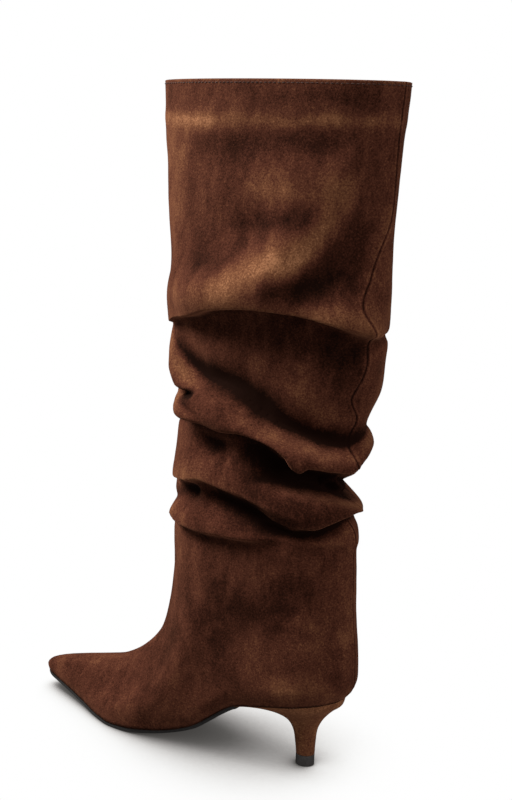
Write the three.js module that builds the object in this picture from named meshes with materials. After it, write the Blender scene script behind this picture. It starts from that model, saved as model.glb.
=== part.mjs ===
// A left slouch boot: pointed toe, low curved heel, tall shaft pushed down into soft folds.
// Millimetres. X runs to the toe, Y to the outer side, Z up.
// The origin is on the floor, at the middle of the heel tip.

import * as THREE from 'three';

// Foot
const FOOT_LENGTH = 264;       // back of the counter to the tip of the toe
const BALL_WIDTH = 78;         // widest place of the forefoot
const HEEL_HEIGHT = 53;        // lower edge of the upper over the floor, at the back
const HEEL_SETBACK = 34;       // back of the counter behind the middle of the heel tip
const TOE_SPRING = 9.5;        // rise of the sole at the tip of the toe
const HEEL_ROUND = 30;         // radius of the seat's round back, in plan
const TOE_ROUND = 9;           // length over which the tip of the toe is rounded
const TIP_HALF_WIDTH = 1.5;    // narrowest half width at the tip of a sheet under the foot
const BREAST = 0.27;           // front of the heel's seat, as a share of the sole's length
const COUNTER_BULGE = 7;       // how far the counter stands behind the seat

// Shaft
const ANKLE_HEIGHT = 150;      // end of the foot part and start of the shaft
const ANKLE_DEPTH = 138;       // front to back at the ankle
const ANKLE_SETBACK = 29;      // back of the ankle behind the middle of the heel tip
const ANKLE_WIDTH = 76;        // side to side at the ankle
const COLLAR_HEIGHT = 452;     // front of the collar over the floor
const COLLAR_RISE = 1;         // how much higher the collar is at the back
const FOLD_DEPTH = 10;         // how far a full fold stands out
const FOLD_PITCH = 40;         // height that one full fold takes up
const ROLL_LEAN = 0.8;         // under 1, a roll is fullest below its middle
const ROLL_SOFTNESS = 0.62;    // 0.5 is a round section, 1 a parabola
const COLLAR_PLAIN = 0.05;     // share of the shaft's height under the collar without folds
const TILT = 0.075;            // how much higher the folds sit at the front, share of the shaft
const TILT_HEIGHT = 0.34;      // where on the shaft they tilt most, share of its height
const TILT_REACH = 0.2;        // how far from there the tilt fades
const TILT_START = 0.12;       // share of the shaft's height over which it grows from the ankle

// Blends between the forms
const SPACING = 1.15;          // over 1, the columns of the upper crowd towards the heel
const FRONT_LIMIT = -0.15;     // cosine of the angle where the vamp's curve begins to take over
const SIDE_FULLNESS = 0.4;     // how early the quarters reach the ankle's width, 0 in a straight line
const COUNTER_SIDES = 0.55;    // roundness left at the sides of the counter
const LOW_FOLD_FADE = 6;       // how fast the lowest fold dies out under the ankle
const SEAM_SPREAD = 0.6;       // angle on each side of the back seam that follows its sway
const SEAM_START = 0.08;       // share of the foot part over which the seam's rib rises

// Thicknesses and small parts
const WALL = 1.8;
const LASTING_MARGIN = 7;      // the wall's lower edge, turned in under the foot
const INSOLE = 2;
const INSOLE_EASE = 1.2;       // room between the insole's edge and the wall, where the wall curves in
const INSOLE_TOE_EASE = 2;     // more of it in the narrow toe
const OUTSOLE = 2.5;
const OUTSOLE_TUCK = 3;        // how far the sole's waist stays inside the upper
const WAIST_END = 0.42;        // where the waist begins to widen, as a share of the sole's length
const WAIST_BLEND = 0.2;       // share of the sole's length over which it does so
const SEAM_WIDTH = 5;
const SEAM_HEIGHT = 1.2;
const LIFT_HEIGHT = 7.5;
const LIFT_LENGTH = 13;
const LIFT_WIDTH = 12;
const BREAST_HOLLOW = 1.5;     // how far the heel's front face is hollowed back
const GAP = 0.3;

const SHAFT_HEIGHT = COLLAR_HEIGHT - ANKLE_HEIGHT;
const FEATHER_MIN = OUTSOLE + GAP;
const HEEL_RISE = HEEL_HEIGHT - FEATHER_MIN;
const BACK_X = COUNTER_BULGE - HEEL_SETBACK;
const SEAT_LENGTH = FOOT_LENGTH - COUNTER_BULGE;
const SEAM_ANGLE = 1.2 * SEAM_WIDTH / ANKLE_WIDTH;

// Plan of the feather line, from the back to the toe
const PLAN = [
  // along   outer   inner, the half widths as shares of half the ball width
  { along: 0.00, outer: 0.60, inner: 0.60 },
  { along: 0.06, outer: 0.64, inner: 0.64 },
  { along: 0.12, outer: 0.68, inner: 0.67 },
  { along: 0.20, outer: 0.70, inner: 0.67 },
  { along: 0.30, outer: 0.70, inner: 0.60 },
  { along: 0.42, outer: 0.74, inner: 0.52 },
  { along: 0.52, outer: 0.86, inner: 0.60 },
  { along: 0.60, outer: 0.95, inner: 0.78 },
  { along: 0.66, outer: 0.93, inner: 0.93 },
  { along: 0.72, outer: 0.80, inner: 0.97 },
  { along: 0.80, outer: 0.56, inner: 0.80 },
  { along: 0.88, outer: 0.35, inner: 0.52 },
  { along: 0.95, outer: 0.20, inner: 0.27 },
  { along: 1.00, outer: 0.11, inner: 0.15 },
];

// Height of the feather line: share of the heel's rise and share of the toe spring
const ARCH = [
  { along: 0.00, heel: 1.000, toe: 0 },
  { along: 0.10, heel: 0.915, toe: 0 },
  { along: 0.20, heel: 0.810, toe: 0 },
  { along: 0.27, heel: 0.720, toe: 0 },
  { along: 0.31, heel: 0.595, toe: 0 },
  { along: 0.35, heel: 0.440, toe: 0 },
  { along: 0.40, heel: 0.260, toe: 0 },
  { along: 0.46, heel: 0.135, toe: 0 },
  { along: 0.53, heel: 0.055, toe: 0 },
  { along: 0.60, heel: 0.015, toe: 0 },
  { along: 0.66, heel: 0.000, toe: 0 },
  { along: 0.74, heel: 0.000, toe: 0.07 },
  { along: 0.84, heel: 0.000, toe: 0.32 },
  { along: 0.93, heel: 0.000, toe: 0.66 },
  { along: 1.00, heel: 0.000, toe: 1.00 },
];

// Middle line of the vamp from the toe up to the ankle
const VAMP = [
  // up: share of the height from the toe's feather line to the ankle
  // back: share of the length from the toe tip to the front of the ankle
  { up: 0.000, back: 0.000 },
  { up: 0.026, back: -0.012 },
  { up: 0.058, back: 0.017 },
  { up: 0.095, back: 0.117 },
  { up: 0.120, back: 0.222 },
  { up: 0.160, back: 0.400 },
  { up: 0.204, back: 0.585 },
  { up: 0.273, back: 0.730 },
  { up: 0.353, back: 0.838 },
  { up: 0.440, back: 0.915 },
  { up: 0.535, back: 0.957 },
  { up: 0.622, back: 0.978 },
  { up: 0.724, back: 0.992 },
  { up: 0.840, back: 0.999 },
  { up: 1.000, back: 1.000 },
];

// Roundness of the counter over the seat: share of the counter's bulge
const COUNTER = [
  { up: 0.00, out: 0.00 },
  { up: 0.03, out: 0.33 },
  { up: 0.08, out: 0.78 },
  { up: 0.15, out: 1.00 },
  { up: 0.25, out: 0.88 },
  { up: 0.50, out: 0.48 },
  { up: 0.75, out: 0.18 },
  { up: 1.00, out: 0.00 },
];

// Smooth form of the shaft under its folds
const SHAFT = [
  // up: share of the shaft's height; back and front: shares of the ankle's depth from its own back
  // wide: share of the ankle's width
  { up: 0.000, back: 0.000, front: 1.000, wide: 1.00 },
  { up: 0.166, back: 0.022, front: 0.982, wide: 1.05 },
  { up: 0.300, back: -0.014, front: 0.985, wide: 1.10 },
  { up: 0.432, back: -0.065, front: 1.014, wide: 1.10 },
  { up: 0.565, back: -0.094, front: 1.040, wide: 1.10 },
  { up: 0.700, back: -0.112, front: 1.075, wide: 1.08 },
  { up: 0.830, back: -0.130, front: 1.102, wide: 1.05 },
  { up: 1.000, back: -0.163, front: 1.130, wide: 1.00 },
];

// Folds of the pushed-down shaft. Each runs round the shaft; angle is in degrees from the front
// over the outer side to the back seam at 180, heights are shares of the shaft's height, and deep
// is a share of the fold depth, below zero in a hollow.
// A crest has soft sides: above and below are their widths and droop is how far the crest hangs
// down, as shares of the fold pitch; its height is given as it hangs. A higher power makes it
// flatter on top.
const CRESTS = [
  { name: 'long drape', above: 0.75, below: 0.07, droop: 0.12, crest: [
    { angle: 10, up: 0.480, deep: 0.30 },
    { angle: 30, up: 0.482, deep: 0.45 },
    { angle: 44, up: 0.496, deep: 0.65 },
    { angle: 60, up: 0.506, deep: 0.85 },
    { angle: 80, up: 0.530, deep: 1.00 },
    { angle: 101, up: 0.540, deep: 1.05 },
    { angle: 122, up: 0.531, deep: 1.10 },
    { angle: 140, up: 0.513, deep: 1.15 },
    { angle: 156, up: 0.495, deep: 1.15 },
    { angle: 165, up: 0.490, deep: 1.00 },
    { angle: 175, up: 0.493, deep: 0.65 },
    { angle: 185, up: 0.498, deep: 0.45 },
    { angle: 200, up: 0.506, deep: 0.30 },
    { angle: 240, up: 0.510, deep: 0.40 },
    { angle: 290, up: 0.520, deep: 0.40 },
    { angle: 330, up: 0.500, deep: 0.30 },
    { angle: 370, up: 0.480, deep: 0.30 },
  ] },
  { name: 'bright ridge', above: 0.38, below: 0.45, droop: 0.00, crest: [
    { angle: 15, up: 0.550, deep: 0.00 },
    { angle: 47, up: 0.564, deep: 0.40 },
    { angle: 68, up: 0.580, deep: 0.70 },
    { angle: 84, up: 0.600, deep: 0.85 },
    { angle: 98, up: 0.620, deep: 0.90 },
    { angle: 107, up: 0.642, deep: 0.85 },
    { angle: 116, up: 0.670, deep: 0.70 },
    { angle: 124, up: 0.696, deep: 0.50 },
    { angle: 132, up: 0.722, deep: 0.30 },
    { angle: 145, up: 0.760, deep: 0.00 },
  ] },
  { name: 'hollow over the bright ridge', above: 0.50, below: 0.30, droop: 0.00, crest: [
    { angle: 45, up: 0.610, deep: 0.00 },
    { angle: 75, up: 0.640, deep: -0.35 },
    { angle: 96, up: 0.700, deep: -0.40 },
    { angle: 115, up: 0.745, deep: -0.40 },
    { angle: 135, up: 0.780, deep: -0.20 },
    { angle: 155, up: 0.810, deep: 0.00 },
  ] },
  { name: 'soft swell over it', above: 0.45, below: 0.35, droop: 0.00, crest: [
    { angle: 70, up: 0.730, deep: 0.00 },
    { angle: 92, up: 0.765, deep: 0.25 },
    { angle: 116, up: 0.800, deep: 0.30 },
    { angle: 139, up: 0.810, deep: 0.30 },
    { angle: 150, up: 0.830, deep: 0.20 },
    { angle: 168, up: 0.860, deep: 0.00 },
  ] },
  { name: 'shallow dip under the collar band', above: 0.40, below: 0.40, droop: 0.00, crest: [
    { angle: 60, up: 0.860, deep: 0.00 },
    { angle: 86, up: 0.862, deep: -0.20 },
    { angle: 136, up: 0.880, deep: -0.20 },
    { angle: 165, up: 0.890, deep: 0.00 },
  ] },
  { name: 'edge of the collar facing', above: 0.10, below: 0.10, droop: 0.00, crest: [
    { angle: 0, up: 0.922, deep: 0.03 },
    { angle: 90, up: 0.926, deep: 0.03 },
    { angle: 180, up: 0.922, deep: 0.03 },
    { angle: 270, up: 0.926, deep: 0.03 },
    { angle: 360, up: 0.922, deep: 0.03 },
  ] },
  { name: 'dark hollow behind the bright ridge', above: 0.50, below: 0.40, droop: 0.00, crest: [
    { angle: 105, up: 0.575, deep: 0.00 },
    { angle: 118, up: 0.600, deep: -0.50 },
    { angle: 130, up: 0.620, deep: -0.80 },
    { angle: 146, up: 0.648, deep: -0.90 },
    { angle: 158, up: 0.690, deep: -0.60 },
    { angle: 168, up: 0.740, deep: -0.30 },
    { angle: 178, up: 0.800, deep: 0.00 },
  ] },
  { name: 'swell over the lip', above: 0.30, below: 0.20, droop: 0.00, crest: [
    { angle: 120, up: 0.550, deep: 0.00 },
    { angle: 141, up: 0.535, deep: 0.30 },
    { angle: 154, up: 0.515, deep: 0.40 },
    { angle: 165, up: 0.500, deep: 0.30 },
    { angle: 178, up: 0.500, deep: 0.00 },
  ] },
  { name: 'panel under the drape', above: 0.75, below: 0.75, droop: 0.00, power: 4, crest: [
    { angle: 35, up: 0.460, deep: 0.00 },
    { angle: 60, up: 0.440, deep: -0.45 },
    { angle: 85, up: 0.438, deep: -0.65 },
    { angle: 110, up: 0.420, deep: -0.75 },
    { angle: 130, up: 0.395, deep: -0.75 },
    { angle: 150, up: 0.365, deep: -0.65 },
    { angle: 164, up: 0.350, deep: -0.30 },
    { angle: 176, up: 0.350, deep: 0.00 },
  ] },
  { name: 'bulge behind the panel', above: 0.10, below: 0.34, droop: 0.00, crest: [
    { angle: 146, up: 0.405, deep: 0.00 },
    { angle: 156, up: 0.420, deep: 0.35 },
    { angle: 166, up: 0.440, deep: 0.55 },
    { angle: 178, up: 0.462, deep: 0.50 },
    { angle: 190, up: 0.470, deep: 0.35 },
    { angle: 205, up: 0.470, deep: 0.30 },
    { angle: 225, up: 0.460, deep: 0.00 },
  ] },
  { name: 'crease over the long roll', above: 0.30, below: 0.11, droop: 0.00, crest: [
    { angle: 34, up: 0.430, deep: 0.00 },
    { angle: 44, up: 0.403, deep: -0.30 },
    { angle: 52, up: 0.384, deep: -0.50 },
    { angle: 62, up: 0.370, deep: -0.60 },
    { angle: 74, up: 0.364, deep: -0.70 },
    { angle: 85, up: 0.352, deep: -0.75 },
    { angle: 96, up: 0.328, deep: -0.80 },
    { angle: 105, up: 0.310, deep: -0.90 },
    { angle: 114, up: 0.295, deep: -0.90 },
    { angle: 121, up: 0.286, deep: -0.90 },
    { angle: 130, up: 0.277, deep: -0.90 },
    { angle: 150, up: 0.259, deep: -0.80 },
    { angle: 165, up: 0.255, deep: -0.50 },
    { angle: 180, up: 0.258, deep: 0.00 },
  ] },
  { name: 'fullness over the end of the roll', above: 0.50, below: 0.40, droop: 0.00, crest: [
    { angle: 168, up: 0.355, deep: 0.00 },
    { angle: 182, up: 0.365, deep: 0.45 },
    { angle: 200, up: 0.375, deep: 0.55 },
    { angle: 220, up: 0.375, deep: 0.30 },
    { angle: 245, up: 0.375, deep: 0.00 },
  ] },
  { name: 'hole in the small loop', above: 0.07, below: 0.07, droop: 0.00, crest: [
    { angle: 4, up: 0.372, deep: 0.00 },
    { angle: 20, up: 0.362, deep: -0.35 },
    { angle: 34, up: 0.350, deep: -0.45 },
    { angle: 45, up: 0.342, deep: -0.90 },
    { angle: 55, up: 0.345, deep: -0.70 },
    { angle: 64, up: 0.345, deep: 0.00 },
  ] },
  { name: 'hollow under the small loop', above: 0.10, below: 0.14, droop: 0.00, crest: [
    { angle: 0, up: 0.286, deep: 0.00 },
    { angle: 18, up: 0.282, deep: -0.35 },
    { angle: 38, up: 0.276, deep: -0.35 },
    { angle: 54, up: 0.270, deep: 0.00 },
  ] },
  { name: 'hollow left of the upright ridge', above: 0.12, below: 0.30, droop: 0.00, crest: [
    { angle: 58, up: 0.250, deep: 0.00 },
    { angle: 72, up: 0.238, deep: -0.50 },
    { angle: 84, up: 0.236, deep: -0.40 },
    { angle: 95, up: 0.240, deep: 0.00 },
  ] },
  { name: 'tuck under the long roll', above: 0.18, below: 0.18, droop: 0.00, power: 4, crest: [
    { angle: 92, up: 0.245, deep: 0.00 },
    { angle: 103, up: 0.230, deep: -0.40 },
    { angle: 112, up: 0.210, deep: -0.80 },
    { angle: 122, up: 0.192, deep: -1.10 },
    { angle: 134, up: 0.181, deep: -1.30 },
    { angle: 148, up: 0.173, deep: -1.40 },
    { angle: 162, up: 0.165, deep: -1.40 },
    { angle: 174, up: 0.158, deep: -1.30 },
    { angle: 190, up: 0.153, deep: -1.30 },
    { angle: 210, up: 0.153, deep: -0.90 },
    { angle: 235, up: 0.165, deep: 0.00 },
  ] },
  { name: 'left lip', above: 0.45, below: 0.08, droop: 0.06, crest: [
    { angle: -20, up: 0.130, deep: 0.00 },
    { angle: 10, up: 0.135, deep: 0.20 },
    { angle: 30, up: 0.138, deep: 0.35 },
    { angle: 45, up: 0.140, deep: 0.65 },
    { angle: 56, up: 0.143, deep: 0.70 },
    { angle: 71, up: 0.156, deep: 0.70 },
    { angle: 82, up: 0.150, deep: 0.65 },
    { angle: 94, up: 0.142, deep: 0.60 },
    { angle: 104, up: 0.136, deep: 0.50 },
    { angle: 113, up: 0.130, deep: 0.40 },
    { angle: 123, up: 0.122, deep: 0.25 },
    { angle: 137, up: 0.112, deep: 0.00 },
  ] },
  { name: 'hollow under the left lip', above: 0.12, below: 0.25, droop: 0.00, crest: [
    { angle: 0, up: 0.070, deep: 0.00 },
    { angle: 18, up: 0.074, deep: -0.35 },
    { angle: 30, up: 0.095, deep: -0.40 },
    { angle: 45, up: 0.113, deep: -0.50 },
    { angle: 56, up: 0.118, deep: -0.60 },
    { angle: 66, up: 0.118, deep: -0.15 },
    { angle: 76, up: 0.118, deep: -0.60 },
    { angle: 90, up: 0.110, deep: -0.70 },
    { angle: 105, up: 0.095, deep: -0.80 },
    { angle: 116, up: 0.080, deep: -0.60 },
    { angle: 128, up: 0.072, deep: 0.00 },
  ] },
  { name: 'lowest lip', above: 0.32, below: 0.09, droop: 0.05, crest: [
    { angle: 10, up: 0.052, deep: 0.25 },
    { angle: 26, up: 0.054, deep: 0.45 },
    { angle: 40, up: 0.048, deep: 0.75 },
    { angle: 50, up: 0.040, deep: 0.75 },
    { angle: 68, up: 0.038, deep: 0.70 },
    { angle: 84, up: 0.042, deep: 0.60 },
    { angle: 100, up: 0.044, deep: 0.55 },
    { angle: 112, up: 0.050, deep: 0.50 },
    { angle: 126, up: 0.056, deep: 0.40 },
    { angle: 146, up: 0.050, deep: 0.40 },
    { angle: 161, up: 0.048, deep: 0.35 },
    { angle: 180, up: 0.032, deep: 0.25 },
    { angle: 200, up: 0.035, deep: 0.20 },
    { angle: 250, up: 0.045, deep: 0.30 },
    { angle: 300, up: 0.045, deep: 0.30 },
    { angle: 340, up: 0.045, deep: 0.30 },
    { angle: 370, up: 0.046, deep: 0.30 },
  ] },
  { name: 'crescent hollow', above: 0.08, below: 0.10, droop: 0.00, crest: [
    { angle: 106, up: 0.074, deep: 0.00 },
    { angle: 118, up: 0.068, deep: -0.60 },
    { angle: 130, up: 0.064, deep: -0.90 },
    { angle: 145, up: 0.068, deep: -1.00 },
    { angle: 160, up: 0.078, deep: -0.80 },
    { angle: 175, up: 0.088, deep: -0.60 },
    { angle: 192, up: 0.090, deep: -0.50 },
    { angle: 215, up: 0.085, deep: 0.00 },
  ] },
  { name: 'small twist at the seam', above: 0.06, below: 0.06, droop: 0.00, crest: [
    { angle: 154, up: 0.170, deep: 0.00 },
    { angle: 162, up: 0.176, deep: 0.80 },
    { angle: 172, up: 0.160, deep: 1.00 },
    { angle: 182, up: 0.155, deep: 0.80 },
    { angle: 196, up: 0.152, deep: 0.60 },
    { angle: 215, up: 0.152, deep: 0.00 },
  ] },
];

// A roll is round in section, with a crease along its top and its bottom edge.
const ROLLS = [
  { name: 'long roll', droop: 0.10, edges: [
    { angle: -40, top: 0.550, bottom: 0.500, deep: 0.00 },
    { angle: -15, top: 0.520, bottom: 0.430, deep: 0.20 },
    { angle: 10, top: 0.485, bottom: 0.400, deep: 0.35 },
    { angle: 25, top: 0.450, bottom: 0.374, deep: 0.50 },
    { angle: 40, top: 0.405, bottom: 0.342, deep: 0.80 },
    { angle: 52, top: 0.372, bottom: 0.300, deep: 1.00 },
    { angle: 62, top: 0.358, bottom: 0.274, deep: 1.10 },
    { angle: 74, top: 0.352, bottom: 0.266, deep: 1.10 },
    { angle: 85, top: 0.340, bottom: 0.259, deep: 1.10 },
    { angle: 96, top: 0.316, bottom: 0.264, deep: 1.10 },
    { angle: 105, top: 0.298, bottom: 0.258, deep: 1.10 },
    { angle: 114, top: 0.283, bottom: 0.246, deep: 1.15 },
    { angle: 121, top: 0.274, bottom: 0.225, deep: 1.20 },
    { angle: 126, top: 0.269, bottom: 0.198, deep: 1.25 },
    { angle: 130, top: 0.265, bottom: 0.188, deep: 1.25 },
    { angle: 135, top: 0.260, bottom: 0.202, deep: 1.20 },
    { angle: 150, top: 0.247, bottom: 0.195, deep: 1.20 },
    { angle: 165, top: 0.242, bottom: 0.188, deep: 1.20 },
    { angle: 178, top: 0.256, bottom: 0.210, deep: 0.95 },
    { angle: 192, top: 0.270, bottom: 0.228, deep: 0.80 },
    { angle: 215, top: 0.278, bottom: 0.232, deep: 0.65 },
    { angle: 250, top: 0.285, bottom: 0.238, deep: 0.40 },
    { angle: 290, top: 0.300, bottom: 0.270, deep: 0.00 },
  ] },
  { name: 'small loop', droop: 0.03, edges: [
    { angle: 12, top: 0.330, bottom: 0.310, deep: 0.00 },
    { angle: 30, top: 0.334, bottom: 0.292, deep: 0.15 },
    { angle: 45, top: 0.334, bottom: 0.284, deep: 0.70 },
    { angle: 56, top: 0.326, bottom: 0.279, deep: 0.70 },
    { angle: 66, top: 0.316, bottom: 0.285, deep: 0.40 },
    { angle: 74, top: 0.300, bottom: 0.290, deep: 0.00 },
  ] },
  { name: 'lens roll', droop: 0.08, edges: [
    { angle: 98, top: 0.172, bottom: 0.116, deep: 0.00 },
    { angle: 108, top: 0.172, bottom: 0.101, deep: 0.35 },
    { angle: 118, top: 0.166, bottom: 0.083, deep: 0.70 },
    { angle: 128, top: 0.158, bottom: 0.075, deep: 0.90 },
    { angle: 139, top: 0.152, bottom: 0.072, deep: 1.00 },
    { angle: 150, top: 0.146, bottom: 0.083, deep: 1.00 },
    { angle: 160, top: 0.142, bottom: 0.093, deep: 1.00 },
    { angle: 172, top: 0.131, bottom: 0.101, deep: 1.00 },
    { angle: 184, top: 0.121, bottom: 0.099, deep: 0.85 },
    { angle: 200, top: 0.116, bottom: 0.096, deep: 0.55 },
    { angle: 230, top: 0.140, bottom: 0.100, deep: 0.50 },
    { angle: 270, top: 0.160, bottom: 0.120, deep: 0.40 },
    { angle: 320, top: 0.150, bottom: 0.120, deep: 0.00 },
  ] },
];

// How far the back seam wanders from the middle, in degrees
const SEAM_SWAY = [
  { up: -1.00, sway: 2 },
  { up: 0.09, sway: 0 },
  { up: 0.19, sway: 6 },
  { up: 0.25, sway: -3 },
  { up: 0.30, sway: -13 },
  { up: 0.38, sway: -8 },
  { up: 0.42, sway: -18 },
  { up: 0.46, sway: -15 },
  { up: 0.50, sway: -15 },
  { up: 0.54, sway: -20 },
  { up: 0.58, sway: -27 },
  { up: 0.63, sway: -18 },
  { up: 0.75, sway: -2 },
  { up: 1.00, sway: -6 },
];

// Heel from the seat down to the tip
const HEEL = [
  // zback, zfront: shares of the heel's height; back, front: shares of the tip's length from
  // its middle; wide: share of the tip's width; square: 1 as the seat's plan, 0 as the oval tip
  { zback: 0.900, zfront: 0.740, back: -1.95, front: 2.60, wide: 3.70, square: 1.0 },
  { zback: 0.820, zfront: 0.725, back: -1.56, front: 2.08, wide: 3.10, square: 0.9 },
  { zback: 0.720, zfront: 0.685, back: -1.16, front: 1.44, wide: 2.36, square: 0.7 },
  { zback: 0.615, zfront: 0.610, back: -0.84, front: 0.92, wide: 1.70, square: 0.5 },
  { zback: 0.480, zfront: 0.480, back: -0.60, front: 0.65, wide: 1.28, square: 0.3 },
  { zback: 0.300, zfront: 0.300, back: -0.52, front: 0.56, wide: 1.12, square: 0.1 },
];

const clamp = (value, low, high) => Math.min(high, Math.max(low, value));

function smooth(value) {
  const s = clamp(value, 0, 1);
  return s * s * (3 - 2 * s);
}

// A smooth curve through one column of a table that never overshoots its rows.
function curve(rows, key, column) {
  const xs = rows.map((row) => row[key]);
  const ys = rows.map((row) => row[column]);
  const last = xs.length - 1;
  const rise = xs.slice(1).map((x, i) => (ys[i + 1] - ys[i]) / (x - xs[i]));
  const slope = ys.map((y, i) => {
    if (i === 0) return rise[0];
    if (i === last) return rise[last - 1];
    const product = rise[i - 1] * rise[i];
    return product <= 0 ? 0 : (2 * product) / (rise[i - 1] + rise[i]);
  });
  return (value) => {
    const x = clamp(value, xs[0], xs[last]);
    let i = 0;
    while (i < last - 1 && x > xs[i + 1]) i += 1;
    const h = xs[i + 1] - xs[i];
    const s = (x - xs[i]) / h;
    const r = 1 - s;
    return ys[i] * (1 + 2 * s) * r * r + slope[i] * h * s * r * r
      + ys[i + 1] * s * s * (3 - 2 * s) - slope[i + 1] * h * s * s * r;
  };
}

const planOuter = curve(PLAN, 'along', 'outer');
const planInner = curve(PLAN, 'along', 'inner');
const archHeel = curve(ARCH, 'along', 'heel');
const archToe = curve(ARCH, 'along', 'toe');
const vampBack = curve(VAMP, 'up', 'back');
const counterOut = curve(COUNTER, 'up', 'out');
const shaftBack = curve(SHAFT, 'up', 'back');
const shaftFront = curve(SHAFT, 'up', 'front');
const shaftWide = curve(SHAFT, 'up', 'wide');
const seamSway = curve(SEAM_SWAY, 'up', 'sway');
const crests = CRESTS.map((fold) => ({
  ...fold,
  up: curve(fold.crest, 'angle', 'up'),
  ...ofRows(fold.crest),
}));
const rolls = ROLLS.map((fold) => ({
  ...fold,
  top: curve(fold.edges, 'angle', 'top'),
  bottom: curve(fold.edges, 'angle', 'bottom'),
  ...ofRows(fold.edges),
}));

// Depth along a fold and the angles between which it runs.
function ofRows(rows) {
  return { deep: curve(rows, 'angle', 'deep'), first: rows[0].angle, last: rows[rows.length - 1].angle };
}

// Rounds the end of a plan: 0 at the very end, 1 from the given length on.
function endRound(distance, length) {
  const s = clamp(distance / length, 0, 1);
  return Math.sqrt(s * (2 - s));
}

const xAlong = (along) => BACK_X + SEAT_LENGTH * along;
const alongX = (x) => clamp((x - BACK_X) / SEAT_LENGTH, 0, 1);
const featherHeight = (along) => FEATHER_MIN + HEEL_RISE * archHeel(along) + TOE_SPRING * archToe(along);

function halfWidth(along, side) {
  const share = side > 0 ? planOuter(along) : planInner(along);
  const ends = endRound(SEAT_LENGTH * along, HEEL_ROUND) * endRound(SEAT_LENGTH * (1 - along), TOE_ROUND);
  return share * ends * BALL_WIDTH / 2;
}

// Point of the feather line at an angle round the boot.
function feather(angle) {
  const along = ((1 + Math.cos(angle)) / 2) ** SPACING;
  const side = Math.sin(angle) >= 0 ? 1 : -1;
  return new THREE.Vector3(xAlong(along), side * halfWidth(along, side), featherHeight(along));
}

// Angle in degrees inside a fold's own range, or null where the fold doesn't reach.
function withinFold(fold, angle) {
  let degrees = THREE.MathUtils.radToDeg(angle);
  if (degrees > fold.last) degrees -= 360;
  if (degrees < fold.first) degrees += 360;
  return degrees > fold.last ? null : degrees;
}

// How far the folds push the wall out and down at a place of the shaft.
function foldAt(angle, up) {
  let out = 0;
  let drop = 0;
  const hang = (fold, degrees) => fold.droop * FOLD_PITCH * clamp(fold.deep(degrees), 0, 1);
  const add = (fold, degrees, shape) => {
    out += shape * fold.deep(degrees) * FOLD_DEPTH;
    drop += shape * hang(fold, degrees);
  };
  for (const fold of crests) {
    const degrees = withinFold(fold, angle);
    if (degrees === null) continue;
    const climb = (fold.up(degrees + 2) - fold.up(degrees - 2)) * SHAFT_HEIGHT / (ANKLE_DEPTH / 60);
    const straight = (up - fold.up(degrees)) * SHAFT_HEIGHT - hang(fold, degrees);
    const over = straight / Math.hypot(1, climb);
    const reach = (over > 0 ? fold.above : fold.below) * FOLD_PITCH;
    add(fold, degrees, Math.exp(-(Math.abs(over / reach) ** (fold.power ?? 2))));
  }
  for (const fold of rolls) {
    const degrees = withinFold(fold, angle);
    if (degrees === null) continue;
    const bottom = fold.bottom(degrees);
    const height = (fold.top(degrees) - bottom) * SHAFT_HEIGHT;
    const place = clamp(((up - bottom) * SHAFT_HEIGHT - hang(fold, degrees)) / height, 0, 1);
    add(fold, degrees, Math.max(0, 1 - (2 * place ** ROLL_LEAN - 1) ** 2) ** ROLL_SOFTNESS);
  }
  const edge = smooth((1 - up) / COLLAR_PLAIN);
  return { out: out * edge, drop: drop * edge };
}

// Outer face of the upper. angle runs from the front over the outer side to the back at pi;
// level is 0 at the feather line, 1 at the ankle and 2 at the collar.
function outerFace(column, level) {
  const nearSeam = Math.exp(-(((column - Math.PI) / SEAM_SPREAD) ** 2));
  const upRaw = clamp(level - 1, 0, 1);
  const sway = THREE.MathUtils.degToRad(seamSway(level - 1)) * smooth((level - 0.1) / 0.6);
  const angle = column + nearSeam * sway;
  const cos = Math.cos(angle);
  const sin = Math.sin(angle);
  const tilt = TILT * Math.exp(-(((upRaw - TILT_HEIGHT) / TILT_REACH) ** 2)) * smooth(upRaw / TILT_START);
  const up = upRaw + tilt * cos;
  const back = ANKLE_DEPTH * shaftBack(up) - ANKLE_SETBACK;
  const front = ANKLE_DEPTH * shaftFront(up) - ANKLE_SETBACK;
  const wide = ANKLE_WIDTH * shaftWide(up);
  const seam = SEAM_HEIGHT * smooth(1 - Math.abs(column - Math.PI) / SEAM_ANGLE);
  const round = new THREE.Vector3((back + front) / 2 + (front - back) / 2 * cos, wide / 2 * sin, 0);
  if (level >= 1) {
    const fold = foldAt(angle, up);
    const height = ANKLE_HEIGHT + SHAFT_HEIGHT * up - fold.drop;
    const raised = COLLAR_RISE * (1 - cos) / 2 * upRaw;
    const out = fold.out + seam;
    return new THREE.Vector3(round.x + cos * out, round.y + sin * out, height + raised);
  }
  const foot = feather(angle);
  const toFront = smooth(cos - FRONT_LIMIT);
  const sideRise = (1 - SIDE_FULLNESS) * level + SIDE_FULLNESS * (1 - (1 - level) ** 2);
  const across = toFront * vampBack(level) + (1 - toFront) * sideRise;
  const roundness = COUNTER_SIDES + (1 - COUNTER_SIDES) * clamp(-cos, 0, 1);
  const bulge = COUNTER_BULGE * counterOut(level) * (1 - toFront) * roundness;
  const fold = foldAt(angle, 0);
  const fade = Math.exp(-(((level - 1) * LOW_FOLD_FADE) ** 2));
  const out = bulge + fold.out * fade + seam * smooth(level / SEAM_START);
  return new THREE.Vector3(
    foot.x + (round.x - foot.x) * across + cos * out,
    foot.y + (round.y - foot.y) * across + sin * out,
    foot.z + (ANKLE_HEIGHT - foot.z) * level - fold.drop * fade,
  );
}

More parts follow.
